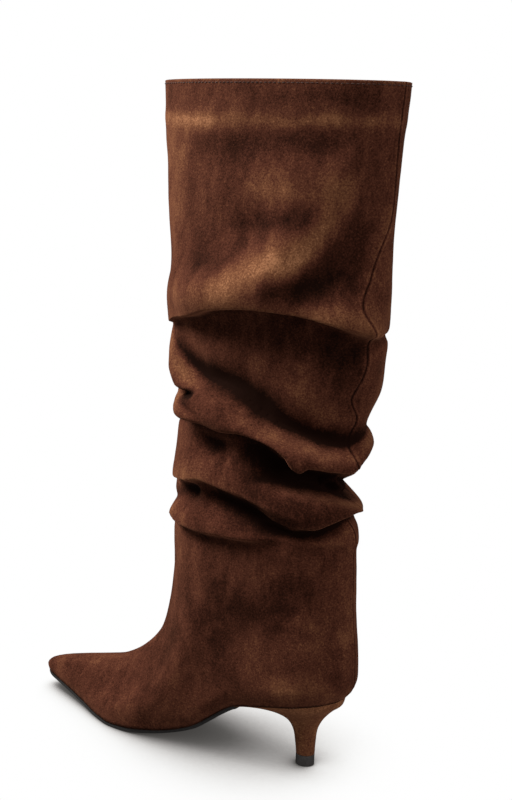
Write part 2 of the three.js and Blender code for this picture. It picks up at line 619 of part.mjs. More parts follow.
// Closes a stack of loops with equal numbers of points into one body. joined: the last loop
// meets the first one. Otherwise both ends are capped in strips across the loop, whose first
// point lies on its middle line, like the point halfway round.
function bodyFromLoops(loops, joined) {
  const count = loops[0].length;
  const positions = loops.flat().flatMap((point) => [point.x, point.y, point.z]);
  const index = [];
  const quad = (a, b, c, d) => index.push(a, b, c, a, c, d);
  const turns = joined ? loops.length : loops.length - 1;
  for (let row = 0; row < turns; row += 1) {
    const lower = row * count;
    const upper = ((row + 1) % loops.length) * count;
    for (let i = 0; i < count; i += 1) {
      const next = (i + 1) % count;
      quad(lower + i, lower + next, upper + next, upper + i);
    }
  }
  if (!joined) {
    const top = (loops.length - 1) * count;
    index.push(0, count - 1, 1, top, top + 1, top + count - 1);
    let left = 1;
    let right = count - 1;
    while (right - left > 2) {
      quad(left, right, right - 1, left + 1);
      quad(top + left, top + left + 1, top + right - 1, top + right);
      left += 1;
      right -= 1;
    }
    index.push(left, right, left + 1, top + left, top + left + 1, top + right);
  }
  const geometry = new THREE.BufferGeometry();
  geometry.setAttribute('position', new THREE.Float32BufferAttribute(positions, 3));
  geometry.setIndex(index);
  geometry.computeVertexNormals();
  return geometry;
}

// Columns of the upper round the boot, closer together at the back seam.
function wallColumns() {
  const shares = [-2.2, -1, -0.45, 0, 0.45, 1, 2.2];
  const nearSeam = shares.map((share) => Math.PI + share * SEAM_ANGLE);
  const sideEnd = nearSeam[0];
  const sideSteps = 24;
  const columns = [];
  for (let i = 0; i < sideSteps; i += 1) columns.push(sideEnd * i / sideSteps);
  columns.push(...nearSeam);
  for (let i = sideSteps - 1; i > 0; i -= 1) columns.push(2 * Math.PI - sideEnd * i / sideSteps);
  return columns;
}

const columns = wallColumns();
const featherLoop = columns.map((column) => feather(column));
const onFeather = (x, y) => new THREE.Vector3(x, y, featherHeight(alongX(x)));

// The feather line moved inwards by a width that may change along the foot. Only the ends are
// moved along the foot: in the arch every sheet that lies on another bends at the same places.
function insetFeather(widthAt) {
  const plain = (along, side) => (side > 0 ? planOuter(along) : planInner(along)) * BALL_WIDTH / 2;
  let tip = 1;
  while (tip > 0.8 && plain(tip, 1) < widthAt(tip) + TIP_HALF_WIDTH) tip -= 0.005;
  const toeShift = Math.max(1 - tip, widthAt(1) / SEAT_LENGTH);
  const backShift = widthAt(0) / SEAT_LENGTH;
  return featherLoop.map((point) => {
    const along = alongX(point.x);
    const moved = along + backShift * (1 - smooth(along / 0.2)) - toeShift * smooth((along - 0.7) / 0.3);
    const side = Math.sign(point.y);
    const round = Math.abs(point.y) / plain(along, side);
    return onFeather(xAlong(moved), side * round * (plain(moved, side) - widthAt(along)));
  });
}

const lowered = (loop, drop) => loop.map((p) => new THREE.Vector3(p.x, p.y, p.z - drop));

function upperGeometry() {
  const footLevels = [0, 0.035, 0.075, 0.13, 0.2, 0.29, 0.4, 0.52, 0.65, 0.78, 0.9];
  const foldTop = 0.62;
  const foldRows = 28;
  const topRows = 6;
  const levels = [...footLevels];
  for (let i = 0; i < foldRows; i += 1) levels.push(1 + foldTop * i / foldRows);
  for (let i = 0; i <= topRows; i += 1) levels.push(1 + foldTop + (1 - foldTop) * i / topRows);

  const outer = levels.map((level) => columns.map((column) => outerFace(column, level)));
  const top = outer.length - 1;
  const wide = columns.length;
  const inner = outer.map((row, r) => row.map((point, c) => {
    const around = new THREE.Vector3().subVectors(row[(c + 1) % wide], row[(c + wide - 1) % wide]);
    const over = outer[Math.min(r + 1, top)][c];
    const along = new THREE.Vector3().subVectors(over, outer[Math.max(r - 1, 0)][c]);
    const inward = along.cross(around).normalize();
    if (r === top) inward.setZ(0);
    return new THREE.Vector3().copy(point).addScaledVector(inward, WALL);
  }));
  const rim = insetFeather(() => WALL);
  const tucked = insetFeather(() => LASTING_MARGIN);
  return bodyFromLoops(
    [...outer, ...inner.slice(1).reverse(), lowered(rim, -WALL), lowered(tucked, -WALL), tucked], true);
}

// Column at the heel's breast, where the sole ends and the heel begins.
const breastColumn = columns.findIndex((column) => feather(column).x < xAlong(BREAST));
const wrap = (i) => (i + columns.length) % columns.length;

function outsoleGeometry() {
  const edgeBevel = OUTSOLE / 4;
  const waist = (along) => 1 - smooth((along - WAIST_END) / WAIST_BLEND);
  const sideways = (along) => OUTSOLE_TUCK * waist(along) + GAP;
  const cut = (loop) => {
    const side = [];
    for (let i = -breastColumn; i <= breastColumn; i += 1) side.push(loop[wrap(i)]);
    return [new THREE.Vector3(side[0].x, 0, side[0].z), ...side];
  };
  const edge = cut(insetFeather(sideways));
  const tread = cut(insetFeather((along) => sideways(along) + edgeBevel));
  const bottom = (point) => Math.max(0, point.z - GAP - OUTSOLE - GAP);
  const atHeight = (loop, height) => loop.map((p) => new THREE.Vector3(p.x, p.y, height(p)));
  const bevel = (point) => bottom(point) + edgeBevel;
  return bodyFromLoops([atHeight(tread, bottom), atHeight(edge, bevel), lowered(edge, GAP)], false);
}

function insoleGeometry() {
  const clear = WALL + GAP + INSOLE_EASE;
  const loop = insetFeather((along) => clear + INSOLE_TOE_EASE * smooth((along - 0.6) / 0.3));
  return bodyFromLoops([lowered(loop, -WALL - GAP), lowered(loop, -WALL - GAP - INSOLE)], false);
}

function heelGeometry() {
  const side = insetFeather(() => GAP).slice(breastColumn, columns.length - breastColumn + 1);
  const corner = side[0];
  const other = side[side.length - 1];
  corner.x -= GAP;
  other.x -= GAP;
  const plan = [
    onFeather(corner.x - BREAST_HOLLOW, 0),
    onFeather(corner.x - BREAST_HOLLOW * 0.75, corner.y / 2),
    ...side,
    onFeather(corner.x - BREAST_HOLLOW * 0.75, other.y / 2),
  ];
  const backX = Math.min(...plan.map((p) => p.x));
  const frontX = Math.max(...plan.map((p) => p.x));
  const widest = Math.max(...plan.map((p) => Math.abs(p.y)));
  const turns = plan.map((p) => Math.atan2(p.y / widest, (p.x - backX) / (frontX - backX) * 2 - 1));
  turns[0] = 0;
  const section = (row) => plan.map((point, i) => {
    const s = (point.x - backX) / (frontX - backX);
    const x = row.square * s + (1 - row.square) * (1 + Math.cos(turns[i])) / 2;
    const y = row.square * point.y / widest + (1 - row.square) * Math.sin(turns[i]);
    return new THREE.Vector3(
      LIFT_LENGTH * (row.back + (row.front - row.back) * x),
      LIFT_WIDTH / 2 * row.wide * y,
      HEEL_HEIGHT * (row.zback + (row.zfront - row.zback) * x),
    );
  });
  const sections = HEEL.map(section);
  const tip = turns.map((turn) => new THREE.Vector3(
    LIFT_LENGTH / 2 * Math.cos(turn), LIFT_WIDTH / 2 * Math.sin(turn), LIFT_HEIGHT + GAP));
  return bodyFromLoops([tip, ...sections.reverse(), lowered(plan, GAP)], false);
}

function liftGeometry() {
  const steps = 28;
  const ring = (shrink, height) => {
    const loop = [];
    for (let i = 0; i < steps; i += 1) {
      const turn = 2 * Math.PI * i / steps;
      const x = (LIFT_LENGTH / 2 - shrink) * Math.cos(turn);
      const y = (LIFT_WIDTH / 2 - shrink) * Math.sin(turn);
      loop.push(new THREE.Vector3(x, y, height));
    }
    return loop;
  };
  const chamfer = LIFT_HEIGHT / 12;
  return bodyFromLoops([ring(chamfer, 0), ring(0, chamfer), ring(0, LIFT_HEIGHT)], false);
}

const suede = new THREE.MeshStandardMaterial({ color: 0x4b2a1b, roughness: 0.95, metalness: 0 });
const rubber = new THREE.MeshStandardMaterial({ color: 0x2a2826, roughness: 0.6, metalness: 0 });
const board = new THREE.MeshStandardMaterial({ color: 0xb08a62, roughness: 0.7, metalness: 0 });

const boot = new THREE.Group();

function addPart(name, geometry, material) {
  const mesh = new THREE.Mesh(geometry, material);
  mesh.name = name;
  boot.add(mesh);
}

addPart('upper', upperGeometry(), suede);
addPart('insole', insoleGeometry(), board);
addPart('outsole', outsoleGeometry(), rubber);
addPart('heel', heelGeometry(), suede);
addPart('top_lift', liftGeometry(), rubber);

export default boot;
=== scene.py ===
"""Visual model of a left slouch boot in brown suede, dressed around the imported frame.

Blender works in metres and the sizes here are millimetres. X runs to the toe, Y to the outer side
and Z up. The origin is on the floor, at the middle of the heel tip. A column is an angle round the
boot, 0 at the front and pi at the back seam. A level is 0 at the feather line, where the upper
meets the sole, 1 at the ankle and 2 at the collar.
"""
import logging
import math
from abc import ABC, abstractmethod
from dataclasses import dataclass
from enum import Enum
from typing import Any, Callable, ClassVar, Sequence

import bpy
import numpy as np
from mathutils import Matrix, Vector, noise


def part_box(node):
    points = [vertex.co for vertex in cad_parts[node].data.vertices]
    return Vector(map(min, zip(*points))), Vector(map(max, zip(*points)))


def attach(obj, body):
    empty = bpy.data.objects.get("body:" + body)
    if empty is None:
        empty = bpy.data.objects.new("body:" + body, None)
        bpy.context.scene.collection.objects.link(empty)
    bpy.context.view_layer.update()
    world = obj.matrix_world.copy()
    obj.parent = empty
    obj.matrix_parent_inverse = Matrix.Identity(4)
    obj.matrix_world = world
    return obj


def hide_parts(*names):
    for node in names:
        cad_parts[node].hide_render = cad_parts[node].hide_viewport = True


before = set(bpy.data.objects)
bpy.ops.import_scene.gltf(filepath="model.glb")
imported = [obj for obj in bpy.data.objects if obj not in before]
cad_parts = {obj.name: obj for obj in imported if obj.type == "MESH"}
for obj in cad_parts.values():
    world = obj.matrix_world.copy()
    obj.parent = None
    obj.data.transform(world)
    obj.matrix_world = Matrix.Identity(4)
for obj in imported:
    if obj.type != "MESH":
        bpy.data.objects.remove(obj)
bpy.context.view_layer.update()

Array = np.ndarray
Curve = Callable[[Any], Any]
Rows = tuple[tuple[float, ...], ...]
Stops = tuple[tuple[float, str], ...]
Material = bpy.types.Material
Object = bpy.types.Object
Socket = bpy.types.NodeSocket
Tree = bpy.types.NodeTree
MM = 0.001
log = logging.getLogger("slouch_boot")


class Slot(Enum):
    """The record's material slots, which each piece names; the pieces get their materials from main."""

    SUEDE = "suede"
    RUBBER = "sole_rubber"
    SOCK = "sock"


@dataclass(frozen=True)
class Table:
    """A short table with named columns, read as curves that never overshoot its rows."""

    columns: tuple[str, ...]
    rows: Rows

    def column(self, name: str) -> Array:
        """All values of one column."""
        return np.array([row[self.columns.index(name)] for row in self.rows], float)

    def curve(self, key: str, name: str) -> Curve:
        """A smooth curve through one column.

        Args:
            key: The column that runs along.
            name: The column to read.

        Returns:
            A function of the key, for a number or an array, held at the table's ends.
        """
        xs, ys = self.column(key), self.column(name)
        rise = np.diff(ys) / np.diff(xs)
        product = rise[:-1] * rise[1:]
        total = np.where(product > 0, rise[:-1] + rise[1:], 1)
        inner = np.where(product > 0, 2 * product / total, 0)
        slope = np.concatenate([rise[:1], inner, rise[-1:]])

        def read(value: Any) -> Any:
            """Blends the two rows around a place of the key.

            Args:
                value: The place, a number or an array.

            Returns:
                The column's value there.
            """
            x = np.clip(value, xs[0], xs[-1])
            i = np.clip(np.searchsorted(xs, x, side="right") - 1, 0, len(xs) - 2)
            h = xs[i + 1] - xs[i]
            s = (x - xs[i]) / h
            r = 1 - s
            start = ys[i] * (1 + 2 * s) * r * r + slope[i] * h * s * r * r
            end = ys[i + 1] * s * s * (3 - 2 * s) - slope[i + 1] * h * s * s * r
            return start + end

        return read


class Fold(ABC):
    """What crests and rolls share: rows that run round the shaft by their angle in degrees.

    The last column, deep, is a share of the fold depth. droop is a share of the fold pitch. tone is
    painted light and shade on the fold: a painted highlight above zero, painted shade below zero.
    """

    columns: ClassVar[tuple[str, ...]]
    rows: Rows
    droop: float
    tone: float

    def curve(self, name: str) -> Curve:
        """One column as a curve of the angle."""
        return Table(self.columns, self.rows).curve("angle", name)


@dataclass(frozen=True)
class Crest(Fold):
    """A soft ridge, or a hollow where deep is below zero.

    up is the height of its line as a share of the shaft; above and below are its reaches as shares
    of the fold pitch.
    """

    columns = ("angle", "up", "deep")

    name: str
    above: float
    below: float
    rows: Rows
    droop: float = 0.0
    power: float = 2.0
    tone: float = 0.0


@dataclass(frozen=True)
class Roll(Fold):
    """A round roll between top and bottom, shares of the shaft, with a crease over its top."""

    columns = ("angle", "top", "bottom", "deep")

    name: str
    rows: Rows
    droop: float = 0.0
    tone: float = 0.0


# Plan of the feather line from the back to the toe; half widths as shares of half the ball width
PLAN = Table(("along", "outer", "inner"), (
    (0, 0.6, 0.6), (0.06, 0.64, 0.64), (0.12, 0.68, 0.67), (0.2, 0.7, 0.67), (0.3, 0.7, 0.6),
    (0.42, 0.74, 0.52), (0.52, 0.86, 0.6), (0.6, 0.95, 0.78), (0.66, 0.93, 0.93), (0.72, 0.8, 0.97),
    (0.8, 0.56, 0.8), (0.88, 0.35, 0.52), (0.95, 0.2, 0.27), (1, 0.11, 0.15),
))

# Height of the feather line: shares of the heel's rise and of the toe spring
ARCH = Table(("along", "heel", "toe"), (
    (0, 1, 0), (0.1, 0.915, 0), (0.2, 0.81, 0), (0.27, 0.72, 0), (0.31, 0.595, 0), (0.35, 0.44, 0),
    (0.4, 0.26, 0), (0.46, 0.135, 0), (0.53, 0.055, 0), (0.6, 0.015, 0), (0.66, 0, 0), (0.74, 0, 0.07),
    (0.84, 0, 0.32), (0.93, 0, 0.66), (1, 0, 1),
))

# Middle line of the vamp, from the toe's feather line up to the front of the ankle
VAMP = Table(("up", "back"), (
    (0, 0), (0.026, -0.012), (0.058, 0.017), (0.095, 0.117), (0.12, 0.222), (0.16, 0.4), (0.204, 0.585),
    (0.273, 0.73), (0.353, 0.838), (0.44, 0.915), (0.535, 0.957), (0.622, 0.978), (0.724, 0.992),
    (0.84, 0.999), (1, 1),
))

# Roundness of the counter over the seat, as a share of its bulge
COUNTER = Table(("up", "out"), (
    (0, 0), (0.03, 0.33), (0.08, 0.78), (0.15, 1), (0.25, 0.88), (0.5, 0.48), (0.75, 0.18), (1, 0),
))

# Smooth form of the shaft under its folds: back and front as shares of the ankle's depth
SHAFT = Table(("up", "back", "front", "wide"), (
    (0, 0, 1, 1), (0.166, 0.022, 0.982, 1.05), (0.3, -0.014, 0.985, 1.1), (0.432, -0.065, 1.014, 1.1),
    (0.565, -0.094, 1.04, 1.1), (0.7, -0.112, 1.075, 1.08), (0.83, -0.13, 1.102, 1.05),
    (1, -0.163, 1.13, 1),
))

# How far the back seam wanders from the middle, in degrees
SEAM_SWAY = Table(("up", "sway"), (
    (-1, 2), (0.09, 0), (0.19, 6), (0.25, -3), (0.3, -13), (0.38, -8), (0.42, -18), (0.46, -15), (0.5, -15),
    (0.54, -20), (0.58, -27), (0.63, -18), (0.75, -2), (1, -6),
))

# Heel from the seat down to the tip. zback, zfront: shares of the heel's height; back, front:
# shares of the tip's length; wide: share of its width; square: 1 as the seat's plan, 0 oval
HEEL = Table(("zback", "zfront", "back", "front", "wide", "square"), (
    (0.9, 0.74, -1.95, 2.6, 3.7, 1), (0.82, 0.725, -1.56, 2.08, 3.1, 0.9),
    (0.72, 0.685, -1.16, 1.44, 2.36, 0.7), (0.615, 0.61, -0.84, 0.92, 1.7, 0.5),
    (0.48, 0.48, -0.6, 0.65, 1.28, 0.3), (0.3, 0.3, -0.52, 0.56, 1.12, 0.1),
))

# Folds of the pushed-down shaft. Angles run from the front over the outer side to the seam at 180
# Their tones are painted light and shade: painted highlights on lit crests, painted shade in hollows and
# under lips
CRESTS = (
    Crest("long drape", 0.75, 0.07, (
        (10, 0.48, 0.3), (30, 0.482, 0.45), (44, 0.496, 0.65), (60, 0.506, 0.85), (80, 0.53, 1),
        (101, 0.54, 1.05), (122, 0.531, 1.1), (140, 0.513, 1.15), (156, 0.495, 1.15), (165, 0.49, 1),
        (175, 0.493, 0.65), (185, 0.498, 0.45), (200, 0.506, 0.3), (240, 0.51, 0.4), (290, 0.52, 0.4),
        (330, 0.5, 0.3), (370, 0.48, 0.3),
    ), droop=0.12),
    Crest("bright ridge", 0.38, 0.45, (
        (15, 0.55, 0), (47, 0.564, 0.4), (68, 0.58, 0.7), (84, 0.6, 0.85), (98, 0.62, 0.9),
        (107, 0.642, 0.85), (116, 0.67, 0.7), (124, 0.696, 0.5), (132, 0.722, 0.3), (145, 0.76, 0),
    ), tone=0.15),
    Crest("hollow over the bright ridge", 0.5, 0.3, (
        (45, 0.61, 0), (75, 0.64, -0.35), (96, 0.7, -0.4), (115, 0.745, -0.4), (135, 0.78, -0.2),
        (155, 0.81, 0),
    ), tone=-0.2),
    Crest("soft swell over it", 0.45, 0.35, (
        (70, 0.73, 0), (92, 0.765, 0.25), (116, 0.8, 0.3), (139, 0.81, 0.3), (150, 0.83, 0.2),
        (168, 0.86, 0),
    ), tone=0.1),
    Crest("shallow dip under the collar band", 0.4, 0.4, (
        (60, 0.86, 0), (86, 0.862, -0.2), (136, 0.88, -0.2), (165, 0.89, 0),
    ), tone=-0.1),
    Crest("edge of the collar facing", 0.1, 0.1, (
        (0, 0.922, 0.03), (90, 0.926, 0.03), (180, 0.922, 0.03), (270, 0.926, 0.03), (360, 0.922, 0.03),
    ), tone=0.2),
    Crest("dark hollow behind the bright ridge", 0.5, 0.4, (
        (105, 0.575, 0), (118, 0.6, -0.5), (130, 0.62, -0.8), (146, 0.648, -0.9), (158, 0.69, -0.6),
        (168, 0.74, -0.3), (178, 0.8, 0),
    ), tone=-0.2),
    Crest("swell over the lip", 0.3, 0.2, (
        (120, 0.55, 0), (141, 0.535, 0.3), (154, 0.515, 0.4), (165, 0.5, 0.3), (178, 0.5, 0),
    ), tone=0.2),
    Crest("panel under the drape", 0.75, 0.75, (
        (35, 0.46, 0), (60, 0.44, -0.45), (85, 0.438, -0.65), (110, 0.42, -0.75), (130, 0.395, -0.75),
        (150, 0.365, -0.65), (164, 0.35, -0.3), (176, 0.35, 0),
    ), power=4, tone=0.3),
    Crest("bulge behind the panel", 0.1, 0.34, (
        (146, 0.405, 0), (156, 0.42, 0.35), (166, 0.44, 0.55), (178, 0.462, 0.5), (190, 0.47, 0.35),
        (205, 0.47, 0.3), (225, 0.46, 0),
    ), tone=0.1),
    Crest("crease over the long roll", 0.3, 0.11, (
        (34, 0.43, 0), (44, 0.403, -0.3), (52, 0.384, -0.5), (62, 0.37, -0.6), (74, 0.364, -0.7),
        (85, 0.352, -0.75), (96, 0.328, -0.8), (105, 0.31, -0.9), (114, 0.295, -0.9), (121, 0.286, -0.9),
        (130, 0.277, -0.9), (150, 0.259, -0.8), (165, 0.255, -0.5), (180, 0.258, 0),
    ), tone=-0.35),
    Crest("fullness over the end of the roll", 0.5, 0.4, (
        (168, 0.355, 0), (182, 0.365, 0.45), (200, 0.375, 0.55), (220, 0.375, 0.3), (245, 0.375, 0),
    )),
    Crest("hole in the small loop", 0.07, 0.07, (
        (4, 0.372, 0), (20, 0.362, -0.35), (34, 0.35, -0.45), (45, 0.342, -0.9), (55, 0.345, -0.7),
        (64, 0.345, 0),
    ), tone=-1.5),
    Crest("hollow under the small loop", 0.1, 0.14, (
        (0, 0.286, 0), (18, 0.282, -0.35), (38, 0.276, -0.35), (54, 0.27, 0),
    ), tone=-0.8),
    Crest("hollow left of the upright ridge", 0.12, 0.3, (
        (58, 0.25, 0), (72, 0.238, -0.5), (84, 0.236, -0.4), (95, 0.24, 0),
    ), tone=-0.7),
    Crest("tuck under the long roll", 0.18, 0.18, (
        (92, 0.245, 0), (103, 0.23, -0.4), (112, 0.21, -0.8), (122, 0.192, -1.1), (134, 0.181, -1.3),
        (148, 0.173, -1.4), (162, 0.165, -1.4), (174, 0.158, -1.3), (190, 0.153, -1.3), (210, 0.153, -0.9),
        (235, 0.165, 0),
    ), power=4, tone=-1.4),
    Crest("left lip", 0.45, 0.08, (
        (-20, 0.13, 0), (10, 0.135, 0.2), (30, 0.138, 0.35), (45, 0.14, 0.65), (56, 0.143, 0.7),
        (71, 0.156, 0.7), (82, 0.15, 0.65), (94, 0.142, 0.6), (104, 0.136, 0.5), (113, 0.13, 0.4),
        (123, 0.122, 0.25), (137, 0.112, 0),
    ), droop=0.06, tone=0.2),
    Crest("hollow under the left lip", 0.12, 0.25, (
        (0, 0.07, 0), (18, 0.074, -0.35), (30, 0.095, -0.4), (45, 0.113, -0.5), (56, 0.118, -0.6),
        (66, 0.118, -0.15), (76, 0.118, -0.6), (90, 0.11, -0.7), (105, 0.095, -0.8), (116, 0.08, -0.6),
        (128, 0.072, 0),
    ), tone=-1.3),
    Crest("lowest lip", 0.32, 0.09, (
        (10, 0.052, 0.25), (26, 0.054, 0.45), (40, 0.048, 0.75), (50, 0.04, 0.75), (68, 0.038, 0.7),
        (84, 0.042, 0.6), (100, 0.044, 0.55), (112, 0.05, 0.5), (126, 0.056, 0.4), (146, 0.05, 0.4),
        (161, 0.048, 0.35), (180, 0.032, 0.25), (200, 0.035, 0.2), (250, 0.045, 0.3), (300, 0.045, 0.3),
        (340, 0.045, 0.3), (370, 0.046, 0.3),
    ), droop=0.05, tone=-0.45),
    Crest("crescent hollow", 0.08, 0.1, (
        (106, 0.074, 0), (118, 0.068, -0.6), (130, 0.064, -0.9), (145, 0.068, -1), (160, 0.078, -0.8),
        (175, 0.088, -0.6), (192, 0.09, -0.5), (215, 0.085, 0),
    ), tone=-1.4),
    Crest("small twist at the seam", 0.06, 0.06, (
        (154, 0.17, 0), (162, 0.176, 0.8), (172, 0.16, 1), (182, 0.155, 0.8), (196, 0.152, 0.6),
        (215, 0.152, 0),
    ), tone=0.3),
)

# The rolls' tones are painted shade over each roll
ROLLS = (
    Roll("long roll", (
        (-40, 0.55, 0.5, 0), (-15, 0.52, 0.43, 0.2), (10, 0.485, 0.4, 0.35), (25, 0.45, 0.374, 0.5),
        (40, 0.405, 0.342, 0.8), (52, 0.372, 0.3, 1), (62, 0.358, 0.274, 1.1), (74, 0.352, 0.266, 1.1),
        (85, 0.34, 0.259, 1.1), (96, 0.316, 0.264, 1.1), (105, 0.298, 0.258, 1.1),
        (114, 0.283, 0.246, 1.15), (121, 0.274, 0.225, 1.2), (126, 0.269, 0.198, 1.25),
        (130, 0.265, 0.188, 1.25), (135, 0.26, 0.202, 1.2), (150, 0.247, 0.195, 1.2),
        (165, 0.242, 0.188, 1.2), (178, 0.256, 0.21, 0.95), (192, 0.27, 0.228, 0.8),
        (215, 0.278, 0.232, 0.65), (250, 0.285, 0.238, 0.4), (290, 0.3, 0.27, 0),
    ), droop=0.1, tone=-0.55),
    Roll("small loop", (
        (12, 0.33, 0.31, 0), (30, 0.334, 0.292, 0.15), (45, 0.334, 0.284, 0.7), (56, 0.326, 0.279, 0.7),
        (66, 0.316, 0.285, 0.4), (74, 0.3, 0.29, 0),
    ), droop=0.03),
    Roll("lens roll", (
        (98, 0.172, 0.116, 0), (108, 0.172, 0.101, 0.35), (118, 0.166, 0.083, 0.7),
        (128, 0.158, 0.075, 0.9), (139, 0.152, 0.072, 1), (150, 0.146, 0.083, 1), (160, 0.142, 0.093, 1),
        (172, 0.131, 0.101, 1), (184, 0.121, 0.099, 0.85), (200, 0.116, 0.096, 0.55), (230, 0.14, 0.1, 0.5),
        (270, 0.16, 0.12, 0.4), (320, 0.15, 0.12, 0),
    ), droop=0.08, tone=-0.8),
)

# Painted highlights and painted shade that follow the folds, with some brushed strokes of the nap, written
# as crests whose depth is the change of tone
PAINTED_SHADING_STREAKS = (
    Crest("bright diagonal ridge", 0.16, 0.15, (
        (25, 0.545, 0), (44, 0.55, 0.25), (76, 0.576, 0.4), (92, 0.603, 0.65), (105, 0.63, 1),
        (116, 0.656, 1.2), (126, 0.684, 1), (134, 0.708, 0.5), (142, 0.735, 0.1), (150, 0.76, 0),
    )),
    Crest("dark under the ridge", 0.22, 0.22, (
        (98, 0.578, 0), (110, 0.59, -0.7), (128, 0.614, -0.8), (140, 0.646, -0.4), (154, 0.678, -0.1),
        (168, 0.712, 0),
    )),
    Crest("lit end of the drape", 0.16, 0.13, (
        (120, 0.548, 0), (134, 0.548, 0.35), (142, 0.55, 0.4), (151, 0.546, 0.3), (162, 0.54, 0),
    )),
    Crest("dark place over the ridge", 0.14, 0.12, (
        (82, 0.71, 0), (96, 0.715, -0.7), (112, 0.724, -0.95), (123, 0.732, -0.7), (131, 0.742, 0),
    )),
    Crest("light end of the ridge", 0.2, 0.16, (
        (120, 0.715, 0), (128, 0.728, 0.35), (138, 0.748, 0.35), (150, 0.775, 0),
    )),
    Crest("soft light over it", 0.22, 0.22, (
        (78, 0.76, 0), (92, 0.768, 0.5), (108, 0.782, 0.75), (125, 0.782, 0.75), (138, 0.79, 0.5),
        (152, 0.805, 0),
    )),
    Crest("dark under the facing", 0.24, 0.24, (
        (50, 0.868, 0), (68, 0.872, -0.4), (90, 0.876, -0.5), (112, 0.88, -0.55), (132, 0.892, -0.45),
        (150, 0.9, 0),
    )),
    Crest("dark left of the ridge", 0.2, 0.14, (
        (52, 0.64, 0), (66, 0.628, -0.35), (80, 0.632, -0.45), (92, 0.655, -0.2), (100, 0.68, 0),
    )),
    Crest("edge of the collar facing", 0.1, 0.14, (
        (10, 0.92, 0.3), (36, 0.918, 0.9), (70, 0.92, 1.1), (90, 0.918, 1.1), (107, 0.91, 1),
        (122, 0.916, 1.1), (142, 0.92, 1), (160, 0.922, 0.8), (180, 0.922, 0.4),
    )),
    Crest("dark along the collar", 0.1, 0.14, (
        (88, 0.968, 0), (108, 0.97, -0.5), (128, 0.968, -0.6), (144, 0.966, -0.5), (158, 0.962, 0),
    )),
    Crest("light left edge", 0.9, 0.9, (
        (26, 0.8, 0), (38, 0.8, 0.35), (50, 0.795, 0.4), (60, 0.79, 0.05), (70, 0.79, 0),
    )),
    Crest("dark under the long roll", 0.2, 0.26, (
        (90, 0.262, 0), (102, 0.236, -0.8), (112, 0.214, -1.1), (122, 0.196, -1.1), (134, 0.186, -1.1),
        (150, 0.18, -1), (166, 0.172, 0),
    )),
    Crest("dark over the long roll", 0.2, 0.1, (
        (40, 0.425, 0), (52, 0.398, -0.1), (74, 0.376, -0.2), (96, 0.338, -0.5), (114, 0.306, -0.7),
        (130, 0.288, -0.7), (152, 0.27, -0.6), (170, 0.268, 0),
    )),
    Crest("dark back of the long roll", 0.12, 0.14, (
        (44, 0.412, 0), (56, 0.398, -0.25), (69, 0.38, -0.6), (78, 0.37, -0.8), (94, 0.346, -0.95),
        (107, 0.32, -0.8), (117, 0.298, -0.5), (126, 0.282, -0.25), (136, 0.268, 0),
    )),
    Crest("shadow under the drape", 0.25, 0.36, (
        (46, 0.468, 0), (56, 0.47, -0.3), (76, 0.486, -0.5), (92, 0.49, -0.7), (106, 0.486, -0.8),
        (124, 0.47, -0.8), (142, 0.455, -0.8), (156, 0.436, -0.7), (168, 0.412, 0),
    )),
    Crest("hollow by the seam", 0.3, 0.4, (
        (146, 0.4, 0), (156, 0.395, -0.5), (162, 0.38, -0.6), (170, 0.37, 0),
    )),
    Crest("fold in the panel", 0.1, 0.12, (
        (104, 0.292, 0), (115, 0.291, 0.35), (135, 0.291, 0.4), (161, 0.303, 0.3), (174, 0.31, 0),
    )),
    # Painted highlights along the edges of the left lip and the long drape
    Crest("rubbed edge of the left lip", 0.1, 0.06, (
        (20, 0.13, 0), (34, 0.128, 0.3), (48, 0.13, 0.4), (62, 0.14, 0.3), (76, 0.146, 0.35),
        (92, 0.136, 0.4), (112, 0.124, 0.35), (134, 0.11, 0),
    )),
    Crest("rubbed edge of the long drape", 0.1, 0.05, (
        (30, 0.47, 0), (48, 0.485, 0.35), (66, 0.498, 0.4), (84, 0.518, 0.3), (102, 0.528, 0.3),
        (124, 0.52, 0.35), (146, 0.5, 0.35), (165, 0.478, 0.3), (182, 0.48, 0),
    )),
)

# Patches painted lighter and darker, partly brushed nap and partly painted light and shade: angle in
# degrees, level, their reaches, tone
NAP_AND_SHADE = Table(("angle", "level", "angle_reach", "level_reach", "tone"), (
    (30, 1.75, 22, 0.22, 0.3), (60, 1.53, 30, 0.02, 0.2), (126, 1.6, 16, 0.03, -0.4),
    (146, 1.67, 14, 0.06, -0.35), (140, 1.36, 20, 0.03, 0.3), (30, 1.35, 20, 0.08, 0.25),
    (60, 1.3, 20, 0.03, -0.1), (110, 1.27, 25, 0.018, 0.05), (66, 1.1, 6, 0.03, 0.65),
    (87, 1.22, 5, 0.035, 0.6), (76, 1.235, 5, 0.03, -0.35), (97, 1.23, 5, 0.03, -0.45),
    (100, 1.1, 40, 0.09, -0.75), (145, 1.235, 14, 0.02, 0.3), (36, 0.95, 14, 0.16, 0.45),
    (45, 0.45, 22, 0.22, -0.45), (12, 0.18, 16, 0.09, 0.4), (4, 0.02, 10, 0.03, 0.45),
    (80, 0.7, 30, 0.15, -0.2), (115, 0.7, 28, 0.18, -0.85), (150, 0.12, 22, 0.07, 0.45),
    (150, 0.45, 22, 0.3, 0.55), (125, 0.35, 20, 0.12, -0.1), (60, 0.2, 20, 0.1, -0.15),
    (235, 1.6, 30, 0.15, 0.2), (290, 1.4, 30, 0.2, -0.2), (270, 0.6, 35, 0.2, 0.15),
))


def smooth(value: Any) -> Any:
    """An even step from 0 at 0 to 1 at 1."""
    s = np.clip(value, 0, 1)
    return s * s * (3 - 2 * s)


def bell(value: Any) -> Any:
    """1 at 0, falling evenly away to both sides."""
    return np.exp(-(value ** 2))


